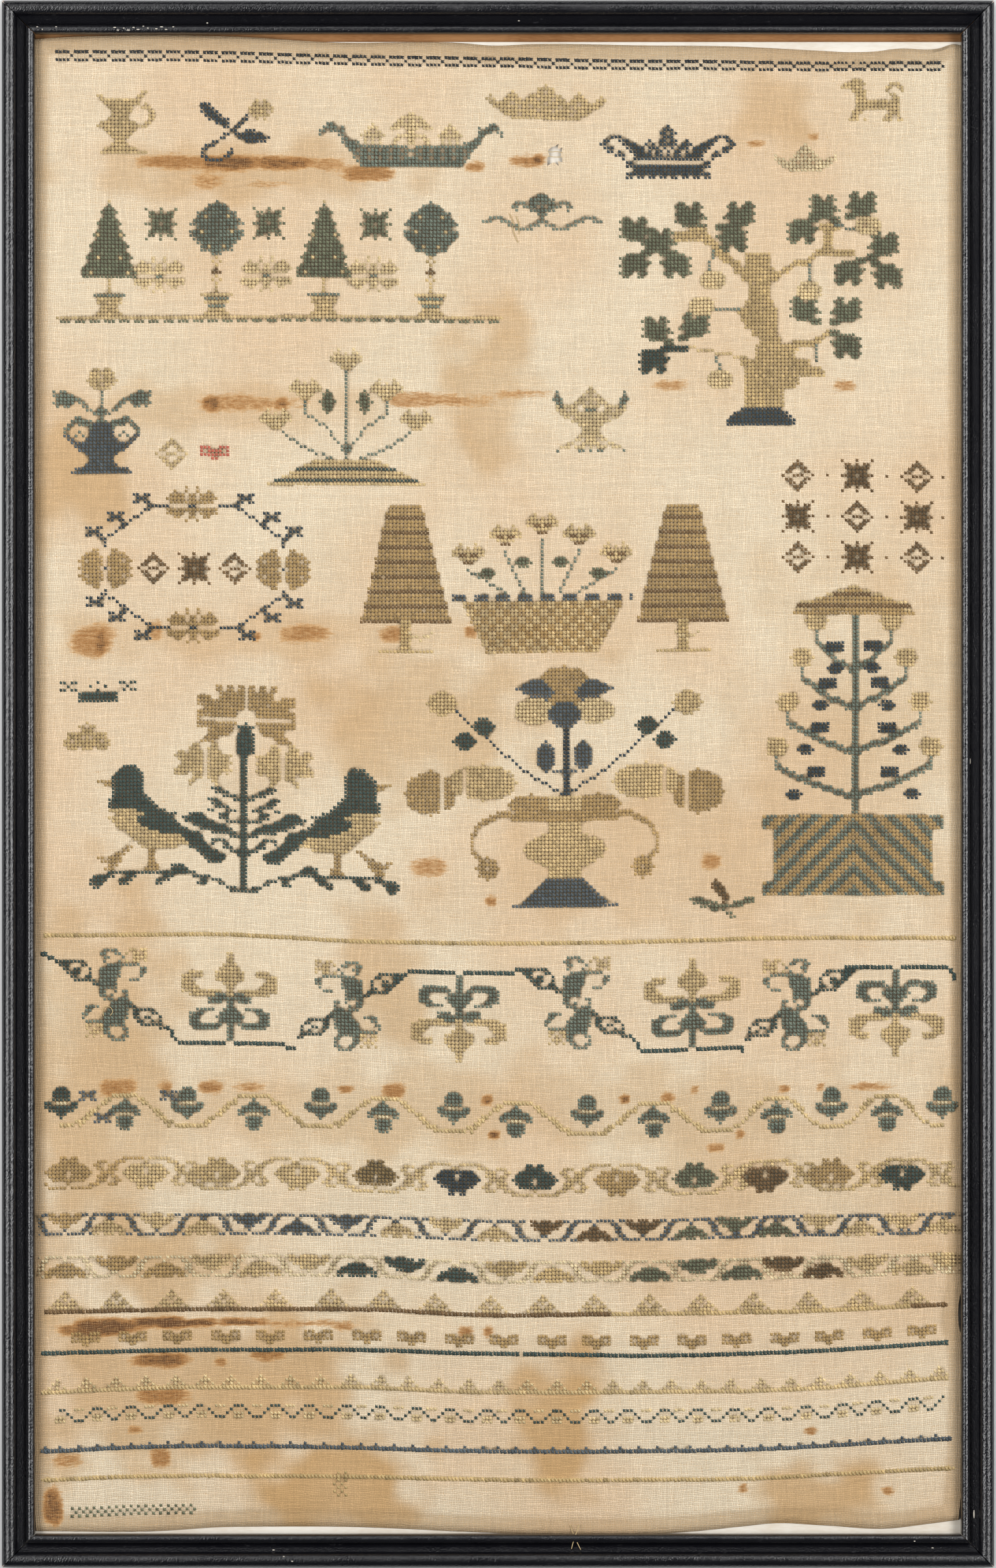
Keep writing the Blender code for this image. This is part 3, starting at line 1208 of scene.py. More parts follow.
# %% Pair of birds on a flowering plant
CARNATION = """
.....oo.oo.oo.
.....oo.oo.oo.
......ooooooo.
oooo..ooooooo.
ooooooooooooo.
ooooooooooooo.
..ooooooooooo.
ooooooooooo...
ooooooooooo...
o.............
ooooooooooo...
oooooooooo....
...ooooooo....
...oooooo.....
..oooo........
.oooo.........
"""
BUD = """
..k
kkk
.kk
kkk
kkk
kkk
kkk
kkk
kkk
"""
BIRDS_ROWS = (
    ".....ll...ll.....dd", "....lll..lll.....dd", ".ll.llll.llll....dd",
    "llllllll.lllllll..d", ".lllllll.llllll...d", "..llllll.lllllll..d",
    "kkkk...........lllllll.llllll...d",
    "kkkkkk.........llllllll.lllllll..d",
    "kkkkkkkk........llll.lll.llll.l...d",
    "kkkkkkkkk.............lll.lll......d",
    "ttttkkkkkkkkk............ll....ll......d",
    "ttkkkkkkkkk............l......l......d",
    "k" * 9 + "." * 18 + "ddd.....d",
    "k" * 9 + "." * 19 + "dddd...d",
    "k" * 10 + "." * 20 + "dddd.d",
    "k" * 12 + "." * 15 + "ddd....ddd",
    "k" * 13 + "." * 15 + "ddd.....d",
    "k" * 14 + "." * 15 + "dddd...d",
    "llllllll" + "d" * 8 + "." * 11 + "dd...ddd.d",
    "llllllll" + "d" * 9 + "...dddd....ddd...d",
    "llllllll" + "d" * 10 + "..ddddddd...ddd...d",
    "lllllll" + "d" * 11 + "..dddddddd...ddddd",
    "lllllll" + "d" * 11 + "...ddddddddd....d",
    "llllllll" + "d" * 11 + "...ddddddddd..d",
    "lllllllll" + "d" * 11 + "...ddddddd.d",
    "l" * 14 + "dddddd.......dddd",
    "l" * 14 + "ddddd..dddd....d",
    "l" * 14 + "ddddd.d..dd...d",
    "tt..llllllllll...dddddd...ddd..d",
    "tt.....tt" + "." * 11 + "dddddd...dddd",
    "ttt......tt" + "." * 12 + "ddddddd...dd",
    "tt.tttt.......tt" + "." * 13 + "dddddd....d",
    "tttttt.......tt" + "." * 14 + "dddd.....d",
    "ttt........ttt...dddd" + "." * 15 + "d",
    "ttt........tttt...ddddd" + "." * 14 + "d",
    "d" * 24 + "." * 12 + "d",
    "dddddd...ddd.......ddd.....ddddd........d",
    "ddddd...dddd......dddd........dd.ddd.....d",
    "dddd....ddd.......dd.........ddd...dd....d",
    "dd" + "." * 34 + "ddd.d",
    "dddd",
)
PLANT_X_PX = 379
PLANT_TOP_PX = 1055

column = column_at(PLANT_X_PX)
row = row_at(PLANT_TOP_PX)
stamp("\n".join(BIRDS_ROWS), column, row - 16, "even", swap={"t": "o", "d": "k", "l": "t"})
stamp(CARNATION, column, row, "odd")
stamp(BUD, column, row - 10, "odd")
print(len(crosses), "crosses after the birds")

# %% Leafy tree with fruit
LEAF = """
.gg..gg..
gggg.ggg.
.gggggg..
gggggggg.
.gggggggg
ggggggg..
..ggggggg
......ggg
"""
TREE_X_PX = 1172
TREE_BASE_PX = 653
TrunkPart = namedtuple("TrunkPart", "first_row last_row left right")
TRUNK = (
    TrunkPart(5, 9, -4, 6), TrunkPart(10, 10, -4, 9), TrunkPart(11, 12, -4, 10), TrunkPart(13, 14, -4, 17),
    TrunkPart(15, 15, -4, 16), TrunkPart(16, 17, -5, 13), TrunkPart(18, 19, -1, 9), TrunkPart(20, 21, -1, 10),
    TrunkPart(22, 23, 0, 5), TrunkPart(24, 25, -2, 4), TrunkPart(26, 27, -4, 4), TrunkPart(28, 29, -5, 4),
    TrunkPart(30, 31, -6, 4), TrunkPart(32, 33, -4, 3), TrunkPart(34, 38, -3, 2), TrunkPart(39, 40, -5, 4),
    TrunkPart(41, 42, -7, 3), TrunkPart(43, 46, -4, 2), TrunkPart(46, 53, 17, 19), TrunkPart(53, 54, 16, 21),
    TrunkPart(51, 53, -19, -15),
)
BRANCHES = (
    (((-6, 42), (-10, 44), (-13, 48), (-16, 50), (-23, 50)), "m", 3),
    (((3, 40), (7, 41), (9, 43), (12, 43), (15, 46), (25, 46)), "m", 2),
    (((9, 21), (14, 21), (18, 24)), "m", 2),
    (((-4, 18), (-10, 19), (-15, 20), (-20, 21)), "t", 1),
    (((-20, 20), (-32, 19)), "k", 2),
    (((-6, 31), (-12, 31)), "s", 1),
    (((-14, 42), (-13, 47)), "s", 1),
    (((13, 39), (13, 43)), "s", 1),
    (((15, 17), (15, 21)), "s", 1),
    (((-11, 15), (-12, 18)), "s", 1),
    (((20, 54), (25, 53)), "s", 1),
)
Leaf = namedtuple("Leaf", "x y yarn right down")
LEAVES = (
    Leaf(-19, 56, "g", False, False), Leaf(-6, 56, "g", True, False), Leaf(-8, 50, "g", True, True),
    Leaf(-34, 52, "g", False, False), Leaf(-27, 49, "g", False, False), Leaf(-34, 43, "g", False, True),
    Leaf(-23, 43, "g", True, True), Leaf(17, 58, "g", False, False), Leaf(11, 52, "g", False, True),
    Leaf(27, 59, "g", True, False), Leaf(33, 48, "g", True, False), Leaf(34, 40, "g", True, True),
    Leaf(24, 41, "g", False, True), Leaf(12, 30, "g", False, False), Leaf(23, 30, "g", True, False),
    Leaf(23, 21, "g", True, True), Leaf(-28, 25, "g", False, False), Leaf(-18, 26, "g", True, False),
    Leaf(-29, 17, "k", False, True),
)
FRUITS = ((-13, 39), (-16, 32), (-11, 12), (13, 36), (29, 54))

column = column_at(TREE_X_PX)
base = row_at(TREE_BASE_PX)
for up, half in enumerate((9, 9, 8, 7, 5)):
    stroke(column, base + up, [(-half, 0), (half, 0)], "d")
for leaf in LEAVES:
    place = (column + leaf.x - 4, base + leaf.y + 4)
    stamp(LEAF, *place, flip=leaf.down, turn=leaf.right, swap={"g": leaf.yarn})
for part in TRUNK:
    for up in range(part.first_row, part.last_row + 1):
        stroke(column, base + up, [(part.left, 0), (part.right, 0)], "m")
for points, yarn, thick in BRANCHES:
    stroke(column, base, points, yarn, thick)
for across, up in FRUITS:
    disc(column + across, base + up, 3.6, 2.6, "l")
print(len(crosses), "crosses after the tree")

# %% [markdown]
# ## Wreath, potted trees and basket
# These are made from the common stock of old pattern sheets: a wreath of rosettes with ornaments in it,
# clipped trees in pots, tulips on a stepped ground, a basket, a trellis and rows of stars and lozenges.

# %% Wreath of rosettes
ROSETTE = """
.....o.
..o..o.
.oooo.o
ooooo.o
.oooooo
......d
ooooooo
ooooo.o
..oo..o
.....o.
"""
SIDE_ROSETTE = """
....oo..
..oooo..
.oooooo.
oo.oooo.
.oooooo.
oooooo.d
.oooooo.
oo.oooo.
.oooooo.
..oooo..
....oo..
"""
TWIG_FLORET = """
dd.dd
.ddd.
dd.dd
"""
STAR = """
b...b
.bb.b
.bbbb
..bbb
bbbb.
..bbb
.bbbb
.bb.b
b...b
"""
DIAMOND = """
b
bb
bb.
bb..
b..bb
bb..
bb.
bb
b
"""
WREATH_X_PX = 297
WREATH_TOP_PX = 779
WREATH_MIDDLE_PX = 872
WREATH_BOTTOM_PX = 964
WREATH_SIDE_PX = 163

column = column_at(WREATH_X_PX)
row = row_at(WREATH_MIDDLE_PX)
side = column_at(WREATH_SIDE_PX) - column
for line_px, turned in ((WREATH_TOP_PX, 1), (WREATH_BOTTOM_PX, -1)):
    line = row_at(line_px) - row
    wreath_branch = ((-7, line), (-11, line), (side, line - 9 * turned), (side, 6 * turned))
    stroke(column, row, wreath_branch, "d", both=True)
    for out, up in ((14, 2), (21, -3), (27, -7)):
        for across in (-out, out):
            stamp(TWIG_FLORET, column + across - 2, row + line + up * turned + 1)
            floret_stem = ((0, 0), (-2 if across > 0 else 2, -2 * turned))
            stroke(column + across, row + line + up * turned, floret_stem, "d")
    stamp(ROSETTE, column, row + line + 5, "even")
stamp(SIDE_ROSETTE, column + side, row + 5, "odd")
stamp(SIDE_ROSETTE, column - side, row + 5, "odd")
for out, chart in ((-11, DIAMOND), (0, STAR), (11, DIAMOND)):
    stamp(chart, column + out, row + 4, "odd")
print(len(crosses), "crosses after the wreath")

# %% Potted trees with rosettes, on a ground line
CLIPPED_TREE = """
t
g
gg
ggg
gg
ggg
gggg
ggg
gggg
gtggg
gggg
ggggg
gggggg
ggggg
gggggg
gggtggg
gggggg
ggggggg
gggggggg
ggtggggg
gggggggg
m
m
m
m
sssss
.tttt
.tttt
..ttt
..ttt
.tttt
"""
ROUND_TREE = """
s
sss
.ssss
ssssss
.sstsss
sssssss
ssssssss
.ssssss
ssstssss
ssssssss
.sssssss
ssssss
.sstss
sssss
ss
m
m.
m
b
bb
m
m.
m
m
m
ttttt
.ssss
.tttt
..sss
..ttt
.tttt
"""
GROUND_PX = 487
for px in range(165, 700, 165):
    chart = CLIPPED_TREE if px % 330 else ROUND_TREE
    stamp(chart, column_at(px), row_at(GROUND_PX) + 31, "odd")
for px in (247, 412, 578):
    stamp(ROSETTE, column_at(px), row_at(395), "even", swap={"d": "s", "o": "l"})
    stamp(STAR, column_at(px), row_at(322), "odd", swap={"b": "g"})
for column in range(column_at(86), column_at(770) + 1):
    sew(column, row_at(GROUND_PX), "t")
    if column % 4 != 1:
        sew(column, row_at(GROUND_PX) - 1, "g")

# %% Tulips on a stepped ground
TULIP = """
l..
ll.l
lllll
llttl
.lll
..tt
"""
column = column_at(530)
base = row_at(743)
for up in range(7):
    stroke(column, base + up, [(2 * up - 21, 0), (21 - 2 * up, 0)], "k" if up % 3 == 1 else "t")
stroke(column, base, [(0, 7), (0, 31)], "s")
stroke(column, base, [(0, 8), (5, 15), (11, 19), (11, 23)], "s", both=True)
stroke(column, base, [(4, 7), (12, 10), (18, 15)], "s", both=True)
disc(column + 5, base + 22, 2, 3, "g", both_about=column)
for out, up in ((0, 36), (-11, 28), (11, 28), (-19, 20), (19, 20)):
    stamp(TULIP, column + out, base + up, "odd")

# %% Basket of flowers between two stepped trees
column = column_at(836)
base = row_at(997)
for up in range(14):
    half = 15 + up // 2
    for out in range(-half, half + 1):
        woven = (out // 2 + up // 2) % 2
        sew(column + out, base + up, "t" if woven else "o")
for out in range(-24, 25):
    if out % 6 < 4:
        sew(column + out, base + 14, "u")
        sew(column + out, base + 15, "u")
for out, up in ((0, 34), (10, 31), (20, 26), (-10, 31), (-20, 26)):
    stroke(column, base, [(out // 2, 16), (out, up - 4)], "s")
    stamp(TULIP, column + out, base + up + 3, "odd", swap={"l": "t", "t": "b"})
for out, up in ((5, 24), (15, 21)):
    disc(column + out, base + up, 2.4, 1.7, "g", both_about=column)
TREE_STEPS = 8
for px in (620, 1050):
    column = column_at(px)
    for step in range(TREE_STEPS):
        for up in range(4):
            half = 12 - step - (up > 1)
            yarn = "b" if up == 0 else "o"
            stroke(column, base + 8 + step * 4 + up, [(-half, 0), (half, 0)], yarn)
    stroke(column, base, [(0, 0), (0, 8)], "m", both=True)
    stroke(column, base, [(1, 0), (1, 8)], "m", both=True)
    stroke(column, base, [(-7, 0), (7, 0)], "m")

# %% Trellis plant on a striped planter
PLANT_X_PX = 1310
PLANT_BASE_PX = 1377
column = column_at(PLANT_X_PX)
base = row_at(PLANT_BASE_PX)
for up in range(22):
    half = 24 - (3 if 3 < up < 18 else 0)
    for out in range(-half, half + 1):
        yarn = "s" if (up + abs(out)) % 6 < 3 else "o"
        sew(column + out, base + up, yarn)
stroke(column, base, [(0, 22), (0, 76)], "s", 1)
stroke(column + 1, base, [(0, 22), (0, 76)], "s", 1)
for up, reach in ((26, 21), (38, 18), (50, 14), (60, 10)):
    points = [(1, up), (reach // 2, up + 3), (reach, up + 8), (reach, up + 12)]
    stroke(column, base, points, "s", 2, both=True)
    disc(column + reach, base + up + 14, 3.2, 2.6, "t", both_about=column)
    disc(column + reach // 2, base + up + 7, 2.6, 1.8, "d", both_about=column)
    disc(column + reach - 5, base + up + 1, 2.4, 1.6, "d", both_about=column)
for step, half in enumerate((16, 13, 15, 11, 8, 5, 2)):
    stroke(column, base + 76 + step, [(-half, 0), (half, 0)], "b" if step % 3 == 2 else "o")
    stroke(column, base + 77 + step, [(-half + 1, 0), (half - 1, 0)], "t")

# %% Rows of small ornaments
ORNAMENT_DOT = "b"
for count, py in enumerate((730, 793, 855)):
    for place, px in enumerate((1225, 1318, 1411)):
        chart = STAR if (place + count) % 2 else DIAMOND
        stamp(chart, column_at(px), row_at(py) + 4, "odd")
    for px in (1271, 1364, 1450):
        stamp(ORNAMENT_DOT, column_at(px), row_at(py))
stamp(DIAMOND, column_at(262), row_at(694) + 4, "odd", swap={"b": "t"})
stamp(HEART, column_at(330), row_at(694) + 2, "even", swap={"x": "r"})
for px in (648, 1058):
    stroke(column_at(px), row_at(980), [(-3, 2), (0, 0), (3, 2)], "l")
for column in range(column_at(110), column_at(300), 2):
    for down in range(3):
        sew(column + down % 2, row_at(2318) - down, "g")
for down in range(7):
    for across in range(4):
        if (down + across) % 2:
            sew(column_at(514) + across, row_at(2265) - down, "m")
print(len(crosses), "crosses in all")
# %% [markdown]
# ## The weave
# Plain weave is the simplest cloth: each thread goes over one crossing thread and under the next. The
# group below works in thread units. A profile that is round across each thread gives its height, a sine
# along it lets it dive and rise, and where neither thread is high there is a gap, which the linen darkens
# as painted shade. Slow noise makes the threads wander and swell as hand-spun ones do. It needs no geometry,
# so it stays cheap.

# %% Shader group: plain weave
weave, weave_in, weave_out = new_group(
    "plain_weave",
    (("Threads", "NodeSocketVector"), ("Wander", "NodeSocketFloat")),
    (("Height", "NodeSocketFloat"), ("Gap", "NodeSocketFloat"), ("Streak", "NodeSocketFloat")),
)
threads_at = weave_in.outputs["Threads"]
along_warp = noise(weave, stretched(weave, threads_at, 0.5, 0.1, 1), 1, 3)
along_weft = noise(weave, stretched(weave, threads_at, 0.1, 0.5, 1), 1, 3)
axes = add_node(weave, "ShaderNodeSeparateXYZ", {0: threads_at})


def wandering(axis, slow_noise):
    aside = calc(weave, "MULTIPLY", calc(weave, "SUBTRACT", slow_noise, 0.5), weave_in.outputs["Wander"])
    return calc(weave, "ADD", axis, aside)


warp_at = wandering(axes.outputs["X"], along_warp)
weft_at = wandering(axes.outputs["Y"], along_weft)


def round_profile(at):
    """0 at a thread's edges and 1 along its middle."""
    middle = calc(weave, "SUBTRACT", calc(weave, "MULTIPLY", calc(weave, "FRACT", at), 2), 1)
    return calc(weave, "SUBTRACT", 1, calc(weave, "MULTIPLY", middle, middle))


def rise(at, side):
    """How far a thread stands up or dives, half way along each crossing."""
    wave = calc(weave, "SINE", calc(weave, "MULTIPLY", calc(weave, "FRACT", at), math.pi))
    return calc(weave, "MULTIPLY_ADD", calc(weave, "MULTIPLY", wave, side), 0.5, 0.5)


crossing = calc(weave, "ADD", calc(weave, "FLOOR", warp_at), calc(weave, "FLOOR", weft_at))
odd = calc(weave, "FLOORED_MODULO", crossing, 2)
warp_side = calc(weave, "MULTIPLY_ADD", odd, -2, 1)
weft_side = calc(weave, "MULTIPLY_ADD", odd, 2, -1)
warp = calc(weave, "MULTIPLY", round_profile(warp_at), rise(weft_at, warp_side))
weft = calc(weave, "MULTIPLY", round_profile(weft_at), rise(warp_at, weft_side))
height = calc(weave, "MAXIMUM", warp, weft)
on_top = calc(weave, "GREATER_THAN", warp, weft)


def thread_tone(at, slow_noise):
    """A tone of its own for each thread, changing a little along it."""
    own = add_node(weave, "ShaderNodeTexWhiteNoise", {"W": calc(weave, "FLOOR", at)}, noise_dimensions="1D")
    return calc(weave, "MULTIPLY_ADD", slow_noise, 0.8, calc(weave, "MULTIPLY", own.outputs["Value"], 0.2))


warp_tone = thread_tone(warp_at, along_warp)
weft_tone = thread_tone(weft_at, along_weft)
tone_step = calc(weave, "MULTIPLY", calc(weave, "SUBTRACT", warp_tone, weft_tone), on_top)
feed(weave, weave_out.inputs["Height"], height)
feed(weave, weave_out.inputs["Gap"], ramp(weave, height, 0.12, 0.6, 1, 0))
feed(weave, weave_out.inputs["Streak"], calc(weave, "ADD", weft_tone, tone_step))
print("weave:", len(weave.nodes), "nodes")

# %% [markdown]
# ## Stains and faded patches
# The linen has yellowed unevenly, and rust-brown stains run along some rows. They belong to the cloth and
# not to the light, so they are painted on its points as plain numbers, one attribute for each kind. The
# shader then roughens their edges with noise and turns the numbers into colours.

# %% Stains and patches
Stain = namedtuple("Stain", "left_px right_px top_px bottom_px strength")
RUST_STAINS = (
    Stain(205, 330, 236, 258, 0.75), Stain(305, 400, 236, 260, 1.1), Stain(390, 490, 238, 258, 1.0),
    Stain(480, 530, 242, 260, 0.6),
    Stain(525, 604, 252, 276, 0.8), Stain(711, 746, 246, 261, 0.8), Stain(783, 842, 238, 254, 0.75),
    Stain(819, 836, 236, 250, 1.1), Stain(296, 352, 262, 292, 0.55), Stain(1145, 1181, 213, 224, 0.7),
    Stain(1244, 1258, 202, 213, 0.6), Stain(375, 448, 276, 286, 0.4), Stain(300, 448, 606, 632, 0.6),
    Stain(312, 336, 608, 630, 1.0), Stain(420, 444, 608, 630, 0.95), Stain(600, 740, 602, 624, 0.6),
    Stain(765, 852, 598, 609, 0.55), Stain(1000, 1052, 583, 598, 0.6), Stain(1280, 1314, 584, 598, 0.6),
    Stain(102, 171, 958, 1004, 0.7), Stain(148, 162, 965, 1003, 1.0), Stain(222, 252, 952, 988, 0.65),
    Stain(384, 402, 968, 987, 0.8), Stain(436, 512, 960, 987, 0.7), Stain(586, 629, 962, 986, 0.7),
    Stain(714, 732, 961, 978, 0.7), Stain(791, 853, 959, 981, 0.7), Stain(632, 688, 1320, 1348, 0.6),
    Stain(746, 762, 1376, 1391, 0.9), Stain(1080, 1113, 1311, 1335, 0.7), Stain(148, 207, 1658, 1684, 0.7),
    Stain(240, 269, 1658, 1681, 0.7), Stain(305, 340, 1663, 1679, 0.8), Stain(359, 411, 1662, 1680, 0.6),
    Stain(515, 545, 1667, 1681, 0.8), Stain(588, 619, 1667, 1687, 0.8), Stain(741, 757, 1684, 1697, 1.0),
    Stain(952, 967, 1681, 1696, 1.1), Stain(750, 767, 1737, 1750, 1.1), Stain(1197, 1217, 1667, 1679, 0.8),
    Stain(1255, 1268, 1665, 1677, 0.7), Stain(1301, 1377, 1664, 1676, 0.7),
    Stain(1062, 1075, 1669, 1681, 0.7),
    Stain(1018, 1035, 1680, 1694, 0.8), Stain(1130, 1144, 1736, 1749, 0.8),
    Stain(1086, 1111, 1757, 1770, 0.7),
    Stain(82, 140, 2034, 2054, 0.9), Stain(112, 222, 2026, 2052, 1.15), Stain(190, 285, 2023, 2042, 1.25),
    Stain(262, 345, 2026, 2040, 1.1), Stain(326, 412, 2026, 2038, 1.15), Stain(405, 545, 2028, 2040, 0.6),
    Stain(180, 296, 2080, 2101, 1.0), Stain(327, 350, 2083, 2101, 0.9), Stain(387, 441, 2076, 2090, 0.8),
    Stain(206, 292, 2132, 2160, 0.8), Stain(193, 217, 2191, 2205, 0.7), Stain(232, 262, 2226, 2255, 0.75),
    Stain(83, 126, 2233, 2255, 0.6), Stain(64, 92, 2284, 2340, 1.0), Stain(508, 545, 2032, 2046, 0.7),
    Stain(703, 727, 2038, 2056, 0.8), Stain(742, 759, 2038, 2056, 0.8), Stain(1236, 1256, 2192, 2205, 0.8),
    Stain(1134, 1149, 2278, 2297, 0.8), Stain(1356, 1377, 2286, 2300, 0.8),
)
TAN_PATCHES = (
    Stain(395, 646, 2213, 2357, 1.0), Stain(795, 921, 2070, 2286, 0.9), Stain(1166, 1339, 2249, 2357, 0.8),
    Stain(40, 260, 1370, 1910, 0.55), Stain(170, 357, 1870, 2020, 0.7), Stain(495, 808, 998, 1218, 0.55),
    Stain(690, 818, 480, 714, 0.6), Stain(526, 650, 1362, 1624, 0.55), Stain(40, 200, 657, 822, 0.6),
    Stain(1130, 1230, 110, 230, 0.5), Stain(120, 620, 215, 300, 0.5), Stain(90, 560, 590, 660, 0.4),
    Stain(90, 900, 940, 1010, 0.4), Stain(100, 1400, 1640, 1770, 0.4), Stain(60, 560, 2010, 2260, 0.7),
    Stain(950, 1500, 1640, 1960, 0.3), Stain(820, 1240, 1180, 1420, 0.35), Stain(1140, 1500, 830, 1400, 0.25),
)
EDGE_DIRT_AND_SHADE_WIDTH = 5.6 * MM


def paint_stains(x, y, stains, raggedness, seed):
    """The strongest stain at each point, with uneven edges."""
    most = np.zeros(len(x))
    for stain in stains:
        half_width = (stain.right_px - stain.left_px) / 2 * PHOTO_MM_PER_PX * MM
        half_height = (stain.bottom_px - stain.top_px) / 2 * PHOTO_MM_PER_PX * MM
        across = (x - x_of((stain.left_px + stain.right_px) / 2)) / half_width
        over = (y - y_of((stain.top_px + stain.bottom_px) / 2)) / half_height
        reach = np.cbrt(abs(across) ** 3 + abs(over) ** 3) + raggedness * drift(x, y, 23, seed)
        most = np.maximum(most, stain.strength * (1 - soft_step(reach - 0.55, 0.8)))
    return most


print(len(RUST_STAINS), "stains and", len(TAN_PATCHES), "patches")

# %% [markdown]
# ## The cloth piece
# One grid, about one face for each cross, is laid out by the outline lists. Its hem stands a little
# proud, its loose edges turn down onto the board, and a worn hole shows the board through it.

# %% Cloth mesh
CLOTH_COLUMNS = 246
CLOTH_ROWS = 402
LOOSE_EDGE_FACE = BOARD_TOP + 0.15 * MM
HEM_GROOVE = 0.2 * MM
HEM_GROOVE_WIDTH = 0.9 * MM
HOLE_X_PX = 852
HOLE_Y_PX = 235
HOLE_HALF_WIDTH = 2.3 * MM
HOLE_HALF_HEIGHT = 3.0 * MM


def from_hole(x, y):
    """How far places are from the worn hole, where 1 is its rim."""
    return np.hypot((x - x_of(HOLE_X_PX)) / HOLE_HALF_WIDTH, (y - y_of(HOLE_Y_PX)) / HOLE_HALF_HEIGHT)


cloth_work = bmesh.new()
bmesh.ops.create_grid(cloth_work, x_segments=CLOTH_COLUMNS, y_segments=CLOTH_ROWS, size=0.5)
cloth_mesh = bpy.data.meshes.new("linen_cloth")
cloth_work.to_mesh(cloth_mesh)
cloth_work.free()

flat_places = np.empty(len(cloth_mesh.vertices) * 3)
cloth_mesh.vertices.foreach_get("co", flat_places)
flat_places = flat_places.reshape(-1, 3)
across, up = flat_places[:, 0] + 0.5, flat_places[:, 1] + 0.5
cloth_x, cloth_y = cloth_place(across, up)
from_side = np.minimum(across, 1 - across) * SIGHT_WIDTH
from_loose = np.minimum(up, 1 - up) * SIGHT_HEIGHT
from_edge = np.minimum(from_side, from_loose)

hole_angle = np.arctan2(cloth_y - y_of(HOLE_Y_PX), cloth_x - x_of(HOLE_X_PX))
hole_rim = 1 + 0.16 * np.sin(3 * hole_angle + 0.6) + 0.1 * np.sin(5 * hole_angle)
hole_reach = from_hole(cloth_x, cloth_y)
in_hole = hole_reach < hole_rim
near_hole = (hole_reach < hole_rim + 0.45) & ~in_hole
pull = hole_rim / np.maximum(hole_reach, 0.1)
cloth_x = np.where(near_hole, x_of(HOLE_X_PX) + (cloth_x - x_of(HOLE_X_PX)) * pull, cloth_x)
cloth_y = np.where(near_hole, y_of(HOLE_Y_PX) + (cloth_y - y_of(HOLE_Y_PX)) * pull, cloth_y)

hem_share = 1 - soft_step(from_edge - HEM_WIDTH / 2, HEM_WIDTH / 2)
cloth_z = cloth_height(cloth_x, cloth_y) + HEM_RISE * hem_share
cloth_z -= HEM_GROOVE * np.exp(-(((from_edge - HEM_WIDTH) / HEM_GROOVE_WIDTH) ** 2))
lies_down = 1 - soft_step(from_loose, 1.0 * MM)
cloth_z = cloth_z * (1 - lies_down) + LOOSE_EDGE_FACE * lies_down
cloth_mesh.vertices.foreach_set("co", np.column_stack((cloth_x, cloth_y, cloth_z)).ravel())

cloth_work = bmesh.new()
cloth_work.from_mesh(cloth_mesh)
cloth_work.verts.ensure_lookup_table()
worn_away = [cloth_work.verts[i] for i in np.flatnonzero(in_hole)]
bmesh.ops.delete(cloth_work, geom=worn_away, context="VERTS")
cloth_work.to_mesh(cloth_mesh)
cloth_work.free()
kept = ~in_hole
cloth_x, cloth_y, from_edge = cloth_x[kept], cloth_y[kept], from_edge[kept]
print(len(cloth_mesh.vertices), "points in the cloth,", len(worn_away), "worn away")


# %% Numbers painted on the cloth
def paint(mesh, name, values, kind="FLOAT"):
    """Keeps one number or one vector for each point of a mesh, for shaders and modifiers to read."""
    attribute = mesh.attributes.new(name, kind, "POINT")
    attribute.data.foreach_set("vector" if kind == "FLOAT_VECTOR" else "value", np.ravel(values))


thread_u, thread_v = stitch_count(cloth_x, cloth_y)
u0, v0 = np.floor(thread_u).astype(int), np.floor(thread_v).astype(int)
cell_places = np.column_stack((thread_u, thread_v, np.zeros(len(cloth_x))))
thread_u = thread_u + 0.34 * drift(cloth_x, cloth_y, 19, 6) + 0.16 * drift(cloth_x, cloth_y, 9, 1)
thread_v = thread_v + 0.38 * drift(cloth_x, cloth_y, 22, 12) + 0.16 * drift(cloth_x, cloth_y, 8, 7)
thread_places = np.column_stack((2 * thread_u, 2 * thread_v, np.zeros(len(cloth_x))))
rust = paint_stains(cloth_x, cloth_y, RUST_STAINS, 0.35, 11)
tan = paint_stains(cloth_x, cloth_y, TAN_PATCHES, 0.5, 4) + 0.16 * drift(cloth_x, cloth_y, 70, 9)
tan = np.clip(tan, 0, 1)
# Painted shade and dirt: the edge number darkens a band along every edge of the cloth, for dirt and for the
# shade where the cloth runs under the moulding, and adds painted shade in the hem's crease.
hem_crease_shade = np.exp(-(((from_edge - HEM_WIDTH) / HEM_GROOVE_WIDTH) ** 2))
edge = 1 - soft_step(from_edge - 2.5 * MM, EDGE_DIRT_AND_SHADE_WIDTH) + 0.45 * hem_crease_shade
paint(cloth_mesh, "weave_place", thread_places, "FLOAT_VECTOR")
paint(cloth_mesh, "cell_place", cell_places, "FLOAT_VECTOR")
paint(cloth_mesh, "rust", rust)
paint(cloth_mesh, "tan", tan)
paint(cloth_mesh, "edge", edge)
# These numbers say where crosses are sewn and where their threads are dark; the linen material uses them for
# painted shade between the crosses.
GRID_COLUMN, GRID_ROW = 150, 240
sewn_grid = np.zeros((2, 2 * GRID_COLUMN + 1, 2 * GRID_ROW + 1))
for (column, row), yarn in crosses.items():
    sewn_grid[:, column + GRID_COLUMN, row + GRID_ROW] = (1, yarn in DARK_THREADS)
around = [sewn_grid[:, u0 + a + GRID_COLUMN, v0 + b + GRID_ROW] for a in (0, 1) for b in (0, 1)]
sewn, dark = np.mean(around, axis=0)
paint(cloth_mesh, "sewn", sewn)
paint(cloth_mesh, "sewn_dark", dark)
print(f"rust covers {np.mean(rust > 0.3):.1%} of the cloth")

